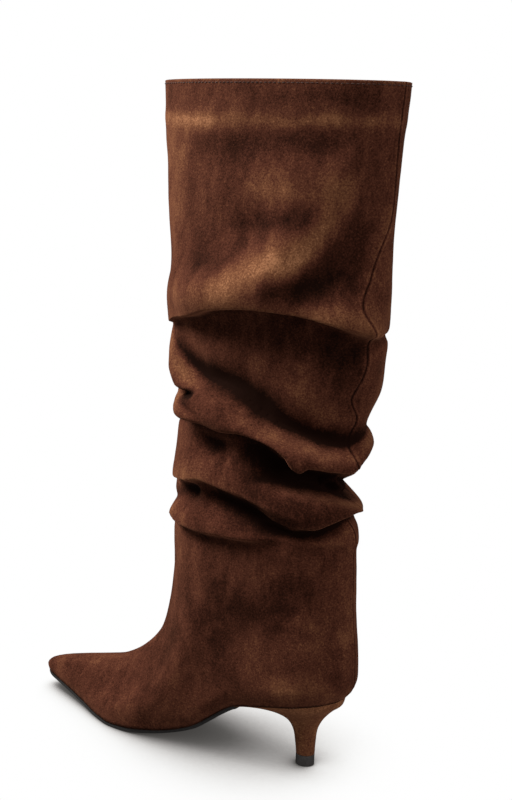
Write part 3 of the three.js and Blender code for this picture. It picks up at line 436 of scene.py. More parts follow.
def end_round(distance: Any, length: float) -> Any:
    """Rounds the end of a plan: 0 at the very end, 1 from the given length on."""
    s = np.clip(distance / length, 0, 1)
    return np.sqrt(s * (2 - s))


def points(x: Any, y: Any, z: Any) -> Array:
    """Joins three coordinates of any shape into points."""
    return np.stack(np.broadcast_arrays(x, y, z), -1)


def even(width: float) -> Curve:
    """A width that stays the same along the foot."""
    return lambda along: width


@dataclass(frozen=True)
class BootForm:
    """The boot's form in millimetres, worked out from its named sizes and the tables above."""

    foot_length: float = 264.0
    ball_width: float = 78.0
    heel_height: float = 53.0
    heel_setback: float = 34.0
    toe_spring: float = 9.5
    heel_round: float = 30.0
    toe_round: float = 9.0
    tip_half_width: float = 1.5
    narrow_from: float = 0.8
    narrow_step: float = 0.005
    heel_blend: float = 0.2
    toe_blend: float = 0.3
    breast: float = 0.27
    counter_bulge: float = 7.0
    ankle_height: float = 150.0
    ankle_depth: float = 138.0
    ankle_setback: float = 29.0
    ankle_width: float = 76.0
    collar_height: float = 452.0
    collar_rise: float = 1.0
    fold_depth: float = 10.0
    fold_pitch: float = 40.0
    slope_span: float = 2.0     # degrees to each side between which a fold's rise is read
    slope_run: float = 2.3      # what that rise is set against
    roll_lean: float = 0.8
    roll_softness: float = 0.62
    collar_plain: float = 0.05
    tilt: float = 0.075
    tilt_height: float = 0.34
    tilt_reach: float = 0.2
    tilt_start: float = 0.12
    spacing: float = 1.15
    front_limit: float = -0.15
    side_fullness: float = 0.4
    counter_sides: float = 0.55
    low_fold_fade: float = 6.0
    seam_spread: float = 0.6
    seam_start: float = 0.08
    seam_width: float = 5.0
    seam_height: float = 1.2
    rib_spread: float = 1.2
    sway_start: float = 0.1
    sway_blend: float = 0.6
    wall: float = 1.8
    lasting_margin: float = 7.0
    insole: float = 2.0
    insole_ease: float = 1.2
    insole_toe_ease: float = 2.0
    outsole: float = 2.5
    outsole_tuck: float = 3.0
    waist_end: float = 0.42
    waist_blend: float = 0.2
    gap: float = 0.3
    tone_above: float = 0.75    # shares of a crest's reach that its tone keeps to
    tone_below: float = 0.4
    # Painted highlight along a roll's upper edge and painted shade in the crease over it
    rim_width: float = 2.8
    rim_place: float = 0.7
    painted_rim_highlight: float = 0.9
    crease_reach: float = 5.0
    painted_crease_shade: float = -1.5
    edge_blend: float = 1.6

    @property
    def shaft_height(self) -> float:
        """Height of the shaft over the ankle."""
        return self.collar_height - self.ankle_height

    @property
    def feather_min(self) -> float:
        """Height of the feather line where the sole lies on the floor."""
        return self.outsole + self.gap

    @property
    def back_x(self) -> float:
        """Back end of the seat."""
        return self.counter_bulge - self.heel_setback

    @property
    def seat_length(self) -> float:
        """Length of the feather line in plan."""
        return self.foot_length - self.counter_bulge

    @property
    def seam_angle(self) -> float:
        """Half the width of the back seam's rib, as an angle round the boot."""
        return self.rib_spread * self.seam_width / self.ankle_width

    @property
    def breast_angle(self) -> float:
        """Angle round the boot at the front of the heel's seat."""
        return math.acos(2 * self.breast ** (1 / self.spacing) - 1)

    def x_along(self, along: Any) -> Any:
        """Place along the boot of a share of the sole's length."""
        return self.back_x + self.seat_length * along

    def feather_height(self, along: Any) -> Any:
        """Height of the feather line.

        Args:
            along: Shares of the sole's length.

        Returns:
            The heights there.
        """
        rise = self.heel_height - self.feather_min
        heel = ARCH.curve("along", "heel")(along)
        toe = ARCH.curve("along", "toe")(along)
        return self.feather_min + rise * heel + self.toe_spring * toe

    def plain_width(self, along: Any, side: Any) -> Any:
        """Half width of the plan before its ends are rounded.

        Args:
            along: Shares of the sole's length.
            side: Above zero on the outer side.

        Returns:
            The half widths there.
        """
        outer = PLAN.curve("along", "outer")(along)
        inner = PLAN.curve("along", "inner")(along)
        return np.where(side > 0, outer, inner) * self.ball_width / 2

    def feather(self, angle: Array) -> Array:
        """The feather line.

        Args:
            angle: Angles round the boot.

        Returns:
            Its points, one for each angle.
        """
        along = ((1 + np.cos(angle)) / 2) ** self.spacing
        side = np.where(np.sin(angle) >= 0, 1, -1)
        back = end_round(self.seat_length * along, self.heel_round)
        toe = end_round(self.seat_length * (1 - along), self.toe_round)
        width = self.plain_width(along, side) * back * toe
        return points(self.x_along(along), side * width, self.feather_height(along))

    def inset(self, angle: Array, width_at: Curve) -> Array:
        """The feather line moved inwards by a width that may change along the foot.

        Args:
            angle: Angles round the boot.
            width_at: The width at a share of the sole's length.

        Returns:
            The moved points, one for each angle.
        """
        start = self.feather(angle)
        tip = 1.0
        while tip > self.narrow_from and self.plain_width(tip, 1) < width_at(tip) + self.tip_half_width:
            tip -= self.narrow_step
        toe_shift = max(1 - tip, width_at(1.0) / self.seat_length)
        back_shift = width_at(0.0) / self.seat_length
        along = np.clip((start[:, 0] - self.back_x) / self.seat_length, 0, 1)
        to_toe = smooth((along - (1 - self.toe_blend)) / self.toe_blend)
        moved = along + back_shift * (1 - smooth(along / self.heel_blend)) - toe_shift * to_toe
        side = np.sign(start[:, 1])
        rounding = np.abs(start[:, 1]) / self.plain_width(along, side)
        y = side * rounding * (self.plain_width(moved, side) - width_at(along))
        return points(self.x_along(moved), y, self.feather_height(moved))

    def folds(self, angle: Array, up: Array) -> tuple[Array, Array, Array]:
        """How far the folds push the wall out and down at places of the shaft.

        Args:
            angle: Angles round the boot, in radians.
            up: Heights as shares of the shaft.

        Returns:
            The push outwards and the drop, in millimetres, and the painted light and shade of the folds.
        """
        out, drop, tone = (np.zeros_like(angle) for _ in range(3))
        for fold in (*CRESTS, *ROLLS):
            at, deep = self.along_fold(fold, angle)
            hang = fold.droop * self.fold_pitch * np.clip(deep, 0, 1)
            section = self.crest_shape if isinstance(fold, Crest) else self.roll_shape
            shape, light = section(fold, at, up, hang)
            out += shape * deep * self.fold_depth
            drop += shape * hang
            # Painted light and shade that follow each fold
            tone += light * np.minimum(1, np.abs(deep))
        edge = smooth((1 - up) / self.collar_plain)
        return out * edge, drop * edge, tone * edge

    def along_fold(self, fold: Fold, angle: Array) -> tuple[Array, Array]:
        """Where angles lie along a fold.

        Args:
            fold: The fold.
            angle: Angles round the boot, in radians.

        Returns:
            The angles in degrees, brought into the span of the fold's rows, and its depth there.
        """
        degrees = np.degrees(angle)
        first, last = fold.rows[0][0], fold.rows[-1][0]
        at = np.where(degrees > last, degrees - 360, degrees)
        at = np.where(at < first, at + 360, at)
        return at, fold.curve("deep")(at) * (at <= last)

    def climb(self, fold: Fold, line: str, at: Array) -> Array:
        """How much further upwards than straight across it is to a slanting line.

        Args:
            fold: The fold.
            line: The column with the line's height.
            at: Angles in degrees.

        Returns:
            The ratio of the two distances at each angle, 1 where the line is level.
        """
        height = fold.curve(line)
        rise = height(at + self.slope_span) - height(at - self.slope_span)
        return np.hypot(1, rise * self.shaft_height / self.slope_run)

    def crest_shape(self, fold: Crest, at: Array, up: Array, hang: Any) -> tuple[Array, Array]:
        """Section of a crest, 1 on its line and soft to both sides.

        Args:
            fold: The crest.
            at: Angles in degrees.
            up: Heights as shares of the shaft.
            hang: How far the crest hangs down, in millimetres.

        Returns:
            The section and its tone of painted light and shade, which keeps closer to the line.
        """
        height = fold.curve("up")(at)
        over = ((up - height) * self.shaft_height - hang) / self.climb(fold, "up", at)
        reach = np.where(over > 0, fold.above, fold.below) * self.fold_pitch
        crisp = reach * np.where(over > 0, self.tone_above, self.tone_below)
        return np.exp(-np.abs(over / reach) ** fold.power), fold.tone * bell(over / crisp)

    def roll_shape(self, fold: Roll, at: Array, up: Array, hang: Array) -> tuple[Array, Array]:
        """Section of a roll, fullest below its middle.

        Args:
            fold: The roll.
            at: Angles in degrees.
            up: Heights as shares of the shaft.
            hang: How far the roll hangs down, in millimetres.

        Returns:
            The section, and its painted tone over the roll, with a painted highlight on its upper edge and
            painted shade in the crease over it.
        """
        bottom = fold.curve("bottom")(at)
        height = (fold.curve("top")(at) - bottom) * self.shaft_height
        raw = ((up - bottom) * self.shaft_height - hang) / height
        place = np.clip(raw, 0, 1)
        shape = np.maximum(0, 1 - (2 * place ** self.roll_lean - 1) ** 2) ** self.roll_softness
        under_edge = (1 - raw) * height / self.climb(fold, "top", at)
        # Painted highlight along the upper edge and painted shade in the crease above it
        rim = self.painted_rim_highlight * bell(under_edge / self.rim_width - self.rim_place)
        crease = self.painted_crease_shade * np.exp(np.minimum(0, under_edge) / self.crease_reach)
        inside = smooth(0.5 + under_edge / self.edge_blend)
        return shape, fold.tone * shape + inside * rim + (1 - inside) * crease

    def turned(self, column: Array, level: Array) -> tuple[Array, Array]:
        """Angle round the boot and height on the shaft of a column at a level.

        Args:
            column: Column angles.
            level: Levels.

        Returns:
            The angle with the seam's sway, and the height with the folds' tilt.
        """
        raw = np.clip(level - 1, 0, 1)
        sway = np.radians(SEAM_SWAY.curve("up", "sway")(level - 1))
        sway = sway * smooth((level - self.sway_start) / self.sway_blend)
        angle = column + bell((column - np.pi) / self.seam_spread) * sway
        lean = bell((raw - self.tilt_height) / self.tilt_reach)
        tilt = self.tilt * lean * smooth(raw / self.tilt_start)
        return angle, raw + tilt * np.cos(angle)

    def relief(self, column: Array, level: Array) -> tuple[Array, Array, Array]:
        """The folds, with the rib of the back seam.

        Args:
            column: Column angles.
            level: Levels.

        Returns:
            The push outwards and the drop, in millimetres, and the painted light and shade of the folds.
        """
        out, drop, tone = self.folds(*self.turned(column, level))
        under = level < 1
        fade = np.where(under, bell((level - 1) * self.low_fold_fade), 1)
        rib = self.seam_height * smooth(1 - np.abs(column - np.pi) / self.seam_angle)
        rib = rib * np.where(under, smooth(level / self.seam_start), 1)
        return out * fade + rib, drop * fade, tone * fade

    def face(self, column: Array, level: Array, out: Array, drop: Array) -> Array:
        """Points of the upper with a given relief.

        Args:
            column: Column angles.
            level: Levels.
            out: Push outwards of the relief.
            drop: How far the relief hangs down.

        Returns:
            The points in millimetres.
        """
        angle, up = self.turned(column, level)
        cos, sin = np.cos(angle), np.sin(angle)
        back = self.ankle_depth * SHAFT.curve("up", "back")(up) - self.ankle_setback
        front = self.ankle_depth * SHAFT.curve("up", "front")(up) - self.ankle_setback
        x = (back + front) / 2 + (front - back) / 2 * cos
        y = self.ankle_width * SHAFT.curve("up", "wide")(up) / 2 * sin
        raised = self.collar_rise * (1 - cos) / 2 * np.clip(level - 1, 0, 1)
        height = self.ankle_height + self.shaft_height * up - drop + raised
        shaft = points(x + cos * out, y + sin * out, height)
        foot = self.feather(angle)
        low = np.clip(level, 0, 1)
        to_front = smooth(cos - self.front_limit)
        side = (1 - self.side_fullness) * low + self.side_fullness * (1 - (1 - low) ** 2)
        across = to_front * VAMP.curve("up", "back")(low) + (1 - to_front) * side
        roundness = self.counter_sides + (1 - self.counter_sides) * np.clip(-cos, 0, 1)
        bulge = self.counter_bulge * COUNTER.curve("up", "out")(low) * (1 - to_front) * roundness
        beside = points(
            foot[..., 0] + (x - foot[..., 0]) * across + cos * (out + bulge),
            foot[..., 1] + (y - foot[..., 1]) * across + sin * (out + bulge),
            foot[..., 2] + (self.ankle_height - foot[..., 2]) * low - drop,
        )
        return np.where((level >= 1)[..., None], shaft, beside)


def linear(code: str) -> tuple[float, float, float, float]:
    """Turns an sRGB hex colour into linear light.

    Args:
        code: The colour, such as 4a2a1a.

    Returns:
        Red, green, blue and alpha.
    """
    parts = [int(code[i:i + 2], 16) / 255 for i in (0, 2, 4)]
    red, green, blue = [p / 12.92 if p <= 0.04045 else ((p + 0.055) / 1.055) ** 2.4 for p in parts]
    return red, green, blue, 1.0


def add_node(tree: Tree, kind: str, settings: dict[Any, Any] | None = None,
             links: dict[Any, Socket] | None = None) -> bpy.types.Node:
    """Adds one node with its settings and links.

    Args:
        tree: The node tree that gets the node.
        kind: The node's type name after ShaderNode.
        settings: Values by socket name or number, by property name, or colour stops.
        links: Output sockets of other nodes by the name or number of this node's socket.

    Returns:
        The new node.
    """
    node = tree.nodes.new("ShaderNode" + kind)
    for key, value in (settings or {}).items():
        if key == "stops":
            ramp = node.color_ramp.elements
            while len(ramp) < len(value):
                ramp.new(1.0)
            for element, (place, colour) in zip(ramp, value):
                element.position = place
                element.color = linear(colour)
        elif isinstance(key, int) or key in node.inputs:
            node.inputs[key].default_value = value
        else:
            setattr(node, key, value)
    for key, socket in (links or {}).items():
        tree.links.new(socket, node.inputs[key])
    return node


def per_metre(millimetres: float) -> float:
    """Noise scale for one cell of the given size."""
    return 1 / (millimetres * MM)


def noise_value(tree: Tree, millimetres: float, vector: Socket, **settings: float) -> Socket:
    """Value of a noise whose cells have the given size."""
    settings["Scale"] = per_metre(millimetres)
    return add_node(tree, "TexNoise", settings, {"Vector": vector}).outputs["Fac"]


def relief_normal(tree: Tree, height: Socket, millimetres: float, strength: float) -> Socket:
    """Normal of a fine relief of the given height."""
    settings = {"Strength": strength, "Distance": millimetres * MM}
    return add_node(tree, "Bump", settings, {"Height": height}).outputs["Normal"]


def seen_apart(tree: Tree, bounced: Socket, seen: Socket) -> Socket:
    """A shader that looks different to the camera than to bounced light.

    Args:
        tree: The node tree.
        bounced: The shader that bounced light meets.
        seen: The shader that the camera sees.

    Returns:
        The two together.
    """
    is_seen = add_node(tree, "LightPath").outputs["Is Camera Ray"]
    return add_node(tree, "MixShader", {}, {0: is_seen, 1: bounced, 2: seen}).outputs[0]


def new_material(name: str) -> tuple[Material, Tree]:
    """Make an empty node material.

    Args:
        name: The material's name.

    Returns:
        The material and its node tree.
    """
    material = bpy.data.materials.new(name)
    material.use_nodes = True
    material.node_tree.nodes.clear()
    return material, material.node_tree


@dataclass(frozen=True)
class Suede:
    """Split leather, napped by emery: matt, with cloudy light and dark strokes of the nap.

    The fibres catch light at grazing angles, which the sheen gives. Crests are painted lighter as
    highlights and creases darker as shade.
    tones runs from painted shade in a crease over the suede's own colour to a painted highlight on a crest.
    """

    name: str = "napped_suede"
    tones: Stops = (
        (0.0, "190c08"), (0.25, "341a12"), (0.48, "522d21"), (0.72, "744a32"), (1.0, "aa7552"))
    cloud_mm: float = 38.0
    stroke_mm: float = 9.0
    grain_mm: float = 1.1       # the real fibre is 0.1 mm; this is as fine as the view shows
    stroke_length: float = 0.5
    detail: float = 3.0
    detail_roughness: float = 0.6
    swirl: float = 0.6
    roughness: float = 0.92
    ior: float = 1.5
    specular: float = 0.05
    specular_tint: str = "c08a68"
    sheen: float = 0.45
    # Share of the sheen left where painted shade darkens the tone
    sheen_in_painted_shade: float = 0.1
    sheen_roughness: float = 0.45
    sheen_tint: str = "bc7c5c"
    nap_and_shade_weight: float = 0.30
    cloud_weight: float = 0.50
    stroke_weight: float = 0.46
    grain_weight: float = 0.90
    middle: float = 0.42
    nap_height_mm: float = 0.30
    nap_strength: float = 0.7

    def material(self) -> Material:
        """Builds the node material.

        Returns:
            The material, which reads the tone of the nap with its painted light and shade from an attribute
            of its mesh.
        """
        material, tree = new_material(self.name)
        place = add_node(tree, "TexCoord").outputs["Object"]
        brushed = add_node(tree, "Mapping", {"Scale": (1, 1, self.stroke_length)},
                           {"Vector": place}).outputs[0]
        # The tone of the nap with painted light and shade, from the mesh
        nap = add_node(tree, "Attribute", {"attribute_name": "nap"}).outputs["Fac"]
        weights = (self.cloud_weight, self.stroke_weight, self.grain_weight)
        start = self.middle - sum(weights) / 2
        tone = add_node(tree, "Math", {"operation": "MULTIPLY_ADD", 1: self.nap_and_shade_weight, 2: start},
                        {0: nap}).outputs[0]
        sizes = (self.cloud_mm, self.stroke_mm, self.grain_mm)
        for size, weight, vector in zip(sizes, weights, (brushed, brushed, place)):
            grain = noise_value(tree, size, vector, Detail=self.detail,
                                Roughness=self.detail_roughness, Distortion=self.swirl)
            tone = add_node(tree, "Math", {"operation": "MULTIPLY_ADD", 1: weight},
                            {0: grain, 2: tone}).outputs[0]
        colour = add_node(tree, "ValToRGB", {"stops": self.tones}, {"Fac": tone}).outputs["Color"]
        # Less sheen where the tone is darker, so that the painted shade in the creases stays dark
        sheen = add_node(tree, "MapRange", {
            "From Max": self.middle, "To Min": self.sheen_in_painted_shade * self.sheen, "To Max": self.sheen,
        }, {"Value": tone}).outputs["Result"]
        shader = add_node(tree, "BsdfPrincipled", {
            "Roughness": self.roughness, "IOR": self.ior, "Specular IOR Level": self.specular,
            "Sheen Roughness": self.sheen_roughness, "Sheen Tint": linear(self.sheen_tint),
            "Specular Tint": linear(self.specular_tint),
        }, {
            "Base Color": colour, "Sheen Weight": sheen,
            "Normal": relief_normal(tree, grain, self.nap_height_mm, self.nap_strength),
        })
        add_node(tree, "OutputMaterial", {}, {"Surface": shader.outputs[0]})
        return material


@dataclass(frozen=True)
class Grained:
    """A plain material with a fine grain, such as moulded rubber or lining leather."""

    name: str
    dark: str
    light: str
    grain_mm: float
    roughness: float
    relief_mm: float
    ior: float = 1.5
    specular: float = 0.4
    sheen: float = 0.0
    detail: float = 4.0
    detail_roughness: float = 0.65
    dark_until: float = 0.3
    light_from: float = 0.7
    roughness_spread: float = 0.06
    relief_strength: float = 0.6

    def material(self) -> Material:
        """Builds the node material.

        Returns:
            The material.
        """
        material, tree = new_material(self.name)
        place = add_node(tree, "TexCoord").outputs["Object"]
        grain = noise_value(tree, self.grain_mm, place, Detail=self.detail,
                            Roughness=self.detail_roughness)
        stops = ((self.dark_until, self.dark), (self.light_from, self.light))
        colour = add_node(tree, "ValToRGB", {"stops": stops}, {"Fac": grain}).outputs["Color"]
        rough = add_node(tree, "MapRange", {
            "To Min": self.roughness - self.roughness_spread,
            "To Max": self.roughness + self.roughness_spread,
        }, {"Value": grain}).outputs["Result"]
        shader = add_node(tree, "BsdfPrincipled", {
            "IOR": self.ior, "Specular IOR Level": self.specular, "Sheen Weight": self.sheen,
        }, {
            "Base Color": colour, "Roughness": rough,
            "Normal": relief_normal(tree, grain, self.relief_mm, self.relief_strength),
        })
        add_node(tree, "OutputMaterial", {}, {"Surface": shader.outputs[0]})
        return material


# Injection-moulded rubber: nearly black, matt, with a fine spark-eroded grain
SOLE_RUBBER = Grained("moulded_rubber", "1d1b1a", "2f2c2a", 1.6, 0.62, 0.05)
# Cast urethane tip: denser and a little glossier than the sole
TIP_URETHANE = Grained("cast_urethane", "3a3735", "4b4745", 1.2, 0.48, 0.03)
# Drummed pigskin lining: warm tan, smooth, with a soft pebble
LINING_LEATHER = Grained("pigskin_lining", "8d6b4b", "a98461", 2.4, 0.6, 0.06)
# Spun polyester thread: matt, a shade darker than the suede
THREAD = Grained("polyester_thread", "2a150d", "4a2a1b", 0.5, 0.8, 0.04, sheen=0.2)


def mesh_object(name: str, places: Array, faces: Sequence[tuple[int, ...]]) -> Object:
    """Makes a smooth-shaded mesh object.

    Args:
        name: The object's name.
        places: Its points in millimetres.
        faces: Its faces, as numbers of points.

    Returns:
        The new object.
    """
    mesh = bpy.data.meshes.new(name)
    mesh.from_pydata((places * MM).tolist(), [], faces)
    mesh.polygons.foreach_set("use_smooth", [True] * len(mesh.polygons))
    mesh.update()
    piece = bpy.data.objects.new(name, mesh)
    bpy.context.scene.collection.objects.link(piece)
    return piece


def shell(name: str, loops: Array, joined: bool = False) -> Object:
    """A closed mesh through a stack of loops with equal numbers of points, in millimetres.

    Args:
        name: The piece's name.
        loops: Points as loops by places round each loop by three.
        joined: Whether the last loop meets the first; otherwise both ends are capped in strips
            across the loop, whose first point lies on its middle line.

    Returns:
        The new object.
    """
    rows, count = loops.shape[:2]
    turns = rows if joined else rows - 1
    lower = (np.arange(turns) * count)[:, None]
    upper = ((np.arange(turns) + 1) % rows * count)[:, None]
    here = np.arange(count)
    after = (here + 1) % count
    quads = np.stack([lower + here, lower + after, upper + after, upper + here], -1)
    faces = [tuple(q) for q in quads.reshape(-1, 4).tolist()]
    if not joined:
        top = (rows - 1) * count
        faces += [(0, count - 1, 1), (top, top + 1, top + count - 1)]
        left, right = 1, count - 1
        while right - left > 2:
            faces.append((left, right, right - 1, left + 1))
            faces.append((top + left, top + left + 1, top + right - 1, top + right))
            left, right = left + 1, right - 1
        faces.append((left, right, left + 1))
        faces.append((top + left, top + left + 1, top + right))
    return mesh_object(name, loops.reshape(-1, 3), faces)


def set_nap_and_shade(piece: Object, tone: Array) -> None:
    """Writes the tone of the nap with its painted light and shade, which the suede's nodes read, onto a
    piece's points.
    """
    attribute = piece.data.attributes.new("nap", "FLOAT", "POINT")
    attribute.data.foreach_set("value", tone.ravel())


class Piece(ABC):
    """What the boot's pieces share: how each is dressed and tied to the frame."""

    slot: ClassVar[Slot] = Slot.SUEDE
    nodes: ClassVar[tuple[str, ...]] = ()
    crisp_degrees: ClassVar[float | None] = None

    @abstractmethod
    def build(self) -> Object:
        """Builds the piece's mesh."""

    def dress(self, piece: Object, *materials: Material) -> None:
        """Gives a piece its materials and hands it over to the frame.

        Args:
            piece: The built piece.
            materials: Its materials, in the order of the mesh's material slots.
        """
        for material in materials:
            piece.data.materials.append(material)
        if self.crisp_degrees is not None:
            piece.data.set_sharp_from_angle(angle=math.radians(self.crisp_degrees))
        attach(piece, "root")
        if self.nodes:
            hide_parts(*self.nodes)
        log.info("%s: %d faces", piece.name, len(piece.data.polygons))


@dataclass
class Upper(Piece):
    """The suede wall of vamp, counter and slouched shaft, with its lining, as one closed shell."""

    nodes = ("upper",)

    form: BootForm
    outer_columns: int = 176
    inner_columns: int = 72
    seam_columns: int = 24
    seam_span: float = 1.3
    foot_rows: int = 54
    foot_power: float = 1.25
    fold_rows: int = 184
    fold_top: float = 0.62
    top_rows: int = 34
    top_power: float = 1.4
    rim_rise: float = 0.35
    lining_step: int = 6
    first_lined: int = 6
    lining_ease: float = 1.2
    lining_ease_below: float = 0.1
    lining_ease_from: float = 0.2
    lining_ease_blend: float = 0.5
    groove_depth: float = 0.9
    groove_width: float = 0.55
    groove_start: float = 0.05
    crease_depth: float = 0.35
    crease_angle: float = 0.16
    crease_width: float = 0.03
    crease_from: float = 0.03
    crease_from_blend: float = 0.03
    crease_until: float = 0.30
    crease_until_blend: float = 0.08
    unevenness: Rows = ((36.0, 0.9), (12.0, 0.25))      # sizes and heights in millimetres
    firm_level: float = 0.06
    seam_soft_angle: float = 0.45
    seam_soft_mm: float = 3.6
    # Painted shade in creases and painted highlight on crests, worked out from the relief
    cavity_mm: float = 9.0
    cavity_gain: float = 0.22
    cavity_dark: float = -1.2
    cavity_light: float = 0.5
    cloud_shifts: tuple[float, ...] = (0.0, 40.0, 80.0)
    cloud_turns: float = 2.2
    cloud_levels: float = 7.0
    cloud_roughness: float = 0.8
    cloud_octaves: int = 4
    cloud_gain: float = 1.5
    warp_degrees: float = 14.0
    warp_level: float = 0.018
    streak_warp: float = 0.007
    patchiness: float = 0.4
    collar_light: float = 0.6
    feather_dark: float = 1.4
    feather_level: float = 0.013
    # Painted highlight on both sides of the seam's rib, and the dark line of the closed seam
    seam_light: float = 0.25
    seam_light_aside: float = 1.2
    seam_light_width: float = 0.5
    seam_dark: float = 1.1
    seam_dark_width: float = 0.45

    def columns(self) -> Array:
        """Column angles, closest together at the back seam and closer on the outer side.

        Returns:
            The angles once round.
        """
        start = np.pi - self.seam_span * self.form.seam_angle
        end = np.pi + self.seam_span * self.form.seam_angle
        return np.concatenate([
            np.linspace(0, start, self.outer_columns, endpoint=False),
            np.linspace(start, end, self.seam_columns, endpoint=False),
            np.linspace(end, 2 * np.pi, self.inner_columns, endpoint=False),
        ])

    def levels(self) -> Array:
        """Levels from the feather line up to the collar, closest together in the folds.

        Returns:
            The levels, upwards.
        """
        foot = np.linspace(0, 1, self.foot_rows, endpoint=False) ** self.foot_power
        folds = np.linspace(1, 1 + self.fold_top, self.fold_rows, endpoint=False)
        left = (1 - np.linspace(0, 1, self.top_rows)) ** self.top_power
        return np.concatenate([foot, folds, 2 - (1 - self.fold_top) * left])

    def groove(self, column: Array, level: Array) -> Array:
        """Depth of the closed seam's line in the middle of its rib."""
        aside = (column - np.pi) * self.form.ankle_width / 2
        return self.groove_depth * bell(aside / self.groove_width) * smooth(level / self.groove_start)

    def vamp_crease(self, column: Array, level: Array) -> Array:
        """Depth of the fine line pressed along the top of the vamp.

        Args:
            column: Column angles as a grid.
            level: Levels as a grid.

        Returns:
            The depth in millimetres.
        """
        start = smooth((level - self.crease_from) / self.crease_from_blend)
        end = smooth((self.crease_until - level) / self.crease_until_blend)
        return self.crease_depth * bell((column - self.crease_angle) / self.crease_width) * (start * end)

    def handling(self, places: Array) -> Array:
        """Slight unevenness of a soft boot.

        Args:
            places: Points of the face, in millimetres.

        Returns:
            How far each is pushed outwards, in millimetres.
        """
        push = [sum(noise.noise(Vector(place) / size) * height for size, height in self.unevenness)
                for place in places.reshape(-1, 3)]
        return np.array(push).reshape(places.shape[:-1])

    def softened(self, values: Array, level: Array, reach: float) -> Array:
        """Evens out values up and down the boot.

        Args:
            values: Values as a grid.
            level: Levels as a grid.
            reach: How far it evens out, in millimetres.

        Returns:
            The softer values.
        """
        form = self.form
        height = np.interp(level[:, 0], (0, 1, 2), (0, form.ankle_height, form.collar_height))
        steps = np.gradient(height)
        soft = np.zeros_like(values)
        for row in range(len(height)):
            weight = bell((height - height[row]) / reach) * steps
            soft[row] = weight @ values / weight.sum()
        return soft

    def clouds(self, column: Array, level: Array) -> list[Array]:
        """Fields of soft noise round the boot.

        Args:
            column: Column angles as a grid.
            level: Levels as a grid.

        Returns:
            Three fields, each about -1 to 1.
        """
        turns = self.cloud_turns
        fields = []
        for shift in self.cloud_shifts:
            flat = [
                noise.fractal(
                    Vector((turns * math.cos(c), turns * math.sin(c), self.cloud_levels * v + shift)),
                    self.cloud_roughness, 2.0, self.cloud_octaves)
                for c, v in zip(column.ravel(), level.ravel())
            ]
            fields.append(np.array(flat).reshape(column.shape) * self.cloud_gain)
        return fields

    def nap(self, column: Array, level: Array, out: Array) -> Array:
        """Tone of the nap with painted light and shade: painted highlights on crests, painted shade in
        creases, and lighter and darker patches and streaks.

        Args:
            column: Column angles as a grid.
            level: Levels as a grid.
            out: The relief, in millimetres.

        Returns:
            A tone around 0 for each place.
        """
        # Painted shade in the creases and painted highlight on the crests, from how far the relief lies
        # below and above its surroundings
        painted_relief_shading = (out - self.softened(out, level, self.cavity_mm)) * self.cavity_gain
        tone = np.clip(painted_relief_shading, self.cavity_dark, self.cavity_light)
        cloud = self.clouds(column, level)
        patchy = 1 + self.patchiness * cloud[2]
        angle = np.degrees(column) + self.warp_degrees * cloud[0]
        place = level + self.warp_level * cloud[1]
        # Patches of brushed nap and of painted light and shade
        for at, at_level, reach, level_reach, amount in NAP_AND_SHADE.rows:
            away = (angle - at + 180) % 360 - 180
            patch = np.exp(-((away / reach) ** 2) - ((place - at_level) / level_reach) ** 2)
            tone += amount * patch * patchy
        turn, up = self.form.turned(column, level)
        # Painted highlights and painted shade along the folds
        for streak in PAINTED_SHADING_STREAKS:
            at, amount = self.form.along_fold(streak, turn)
            shape, _ = self.form.crest_shape(streak, at, up + self.streak_warp * cloud[1], 0)
            tone += amount * shape * patchy
        aside = np.abs(column - np.pi) * self.form.ankle_width / 2
        tone -= self.feather_dark * bell(level / self.feather_level)
        tone += self.collar_light * bell((2 - level) * self.form.shaft_height)
        # Painted highlight on both sides of the seam's rib, then the dark line of the closed seam itself
        rubbed = self.seam_light * bell((aside - self.seam_light_aside) / self.seam_light_width)
        return tone + (rubbed - self.seam_dark * bell(aside / self.seam_dark_width))

    def build(self) -> Object:
        """Builds the shell with its nap tone and painted light and shade, softening the folds where they
        end at the back seam.

        Returns:
            The shell. The faces of its lining have the second material slot.
        """
        form = self.form
        column, level = np.meshgrid(self.columns(), self.levels())
        out, drop, painted_fold_shading = form.relief(column, level)
        at_seam = bell((column - np.pi) / self.seam_soft_angle)
        for relief in (out, drop):
            relief += at_seam * (self.softened(relief, level, self.seam_soft_mm) - relief)
        fine = out - self.groove(column, level) - self.vamp_crease(column, level)
        loose = smooth(level / self.firm_level) * smooth((2 - level) / self.firm_level)
        push = self.handling(form.face(column, level, fine, drop)) * loose
        face = form.face(column, level, fine + push, drop)
        lining = self.lining(column, level, out)
        rim = form.inset(self.columns(), even(form.wall))
        tucked = form.inset(self.columns(), even(form.lasting_margin))
        edge = face[-1:] * 0.5 + lining[:1] * 0.5 + np.array([0, 0, self.rim_rise])
        bottom = [rim + [0, 0, form.wall], tucked + [0, 0, form.wall], tucked]
        loops = np.concatenate([face, edge, lining, bottom])
        piece = shell("upper_suede", loops, joined=True)
        tone = np.zeros(loops.shape[:2])
        tone[:len(face)] = self.nap(column, level, out) + painted_fold_shading
        set_nap_and_shade(piece, tone)
        lined = np.zeros(loops.shape[:2], int)
        lined[len(face) + 1:len(face) + 1 + len(lining)] = 1
        piece.data.polygons.foreach_set("material_index", lined.ravel())
        return piece

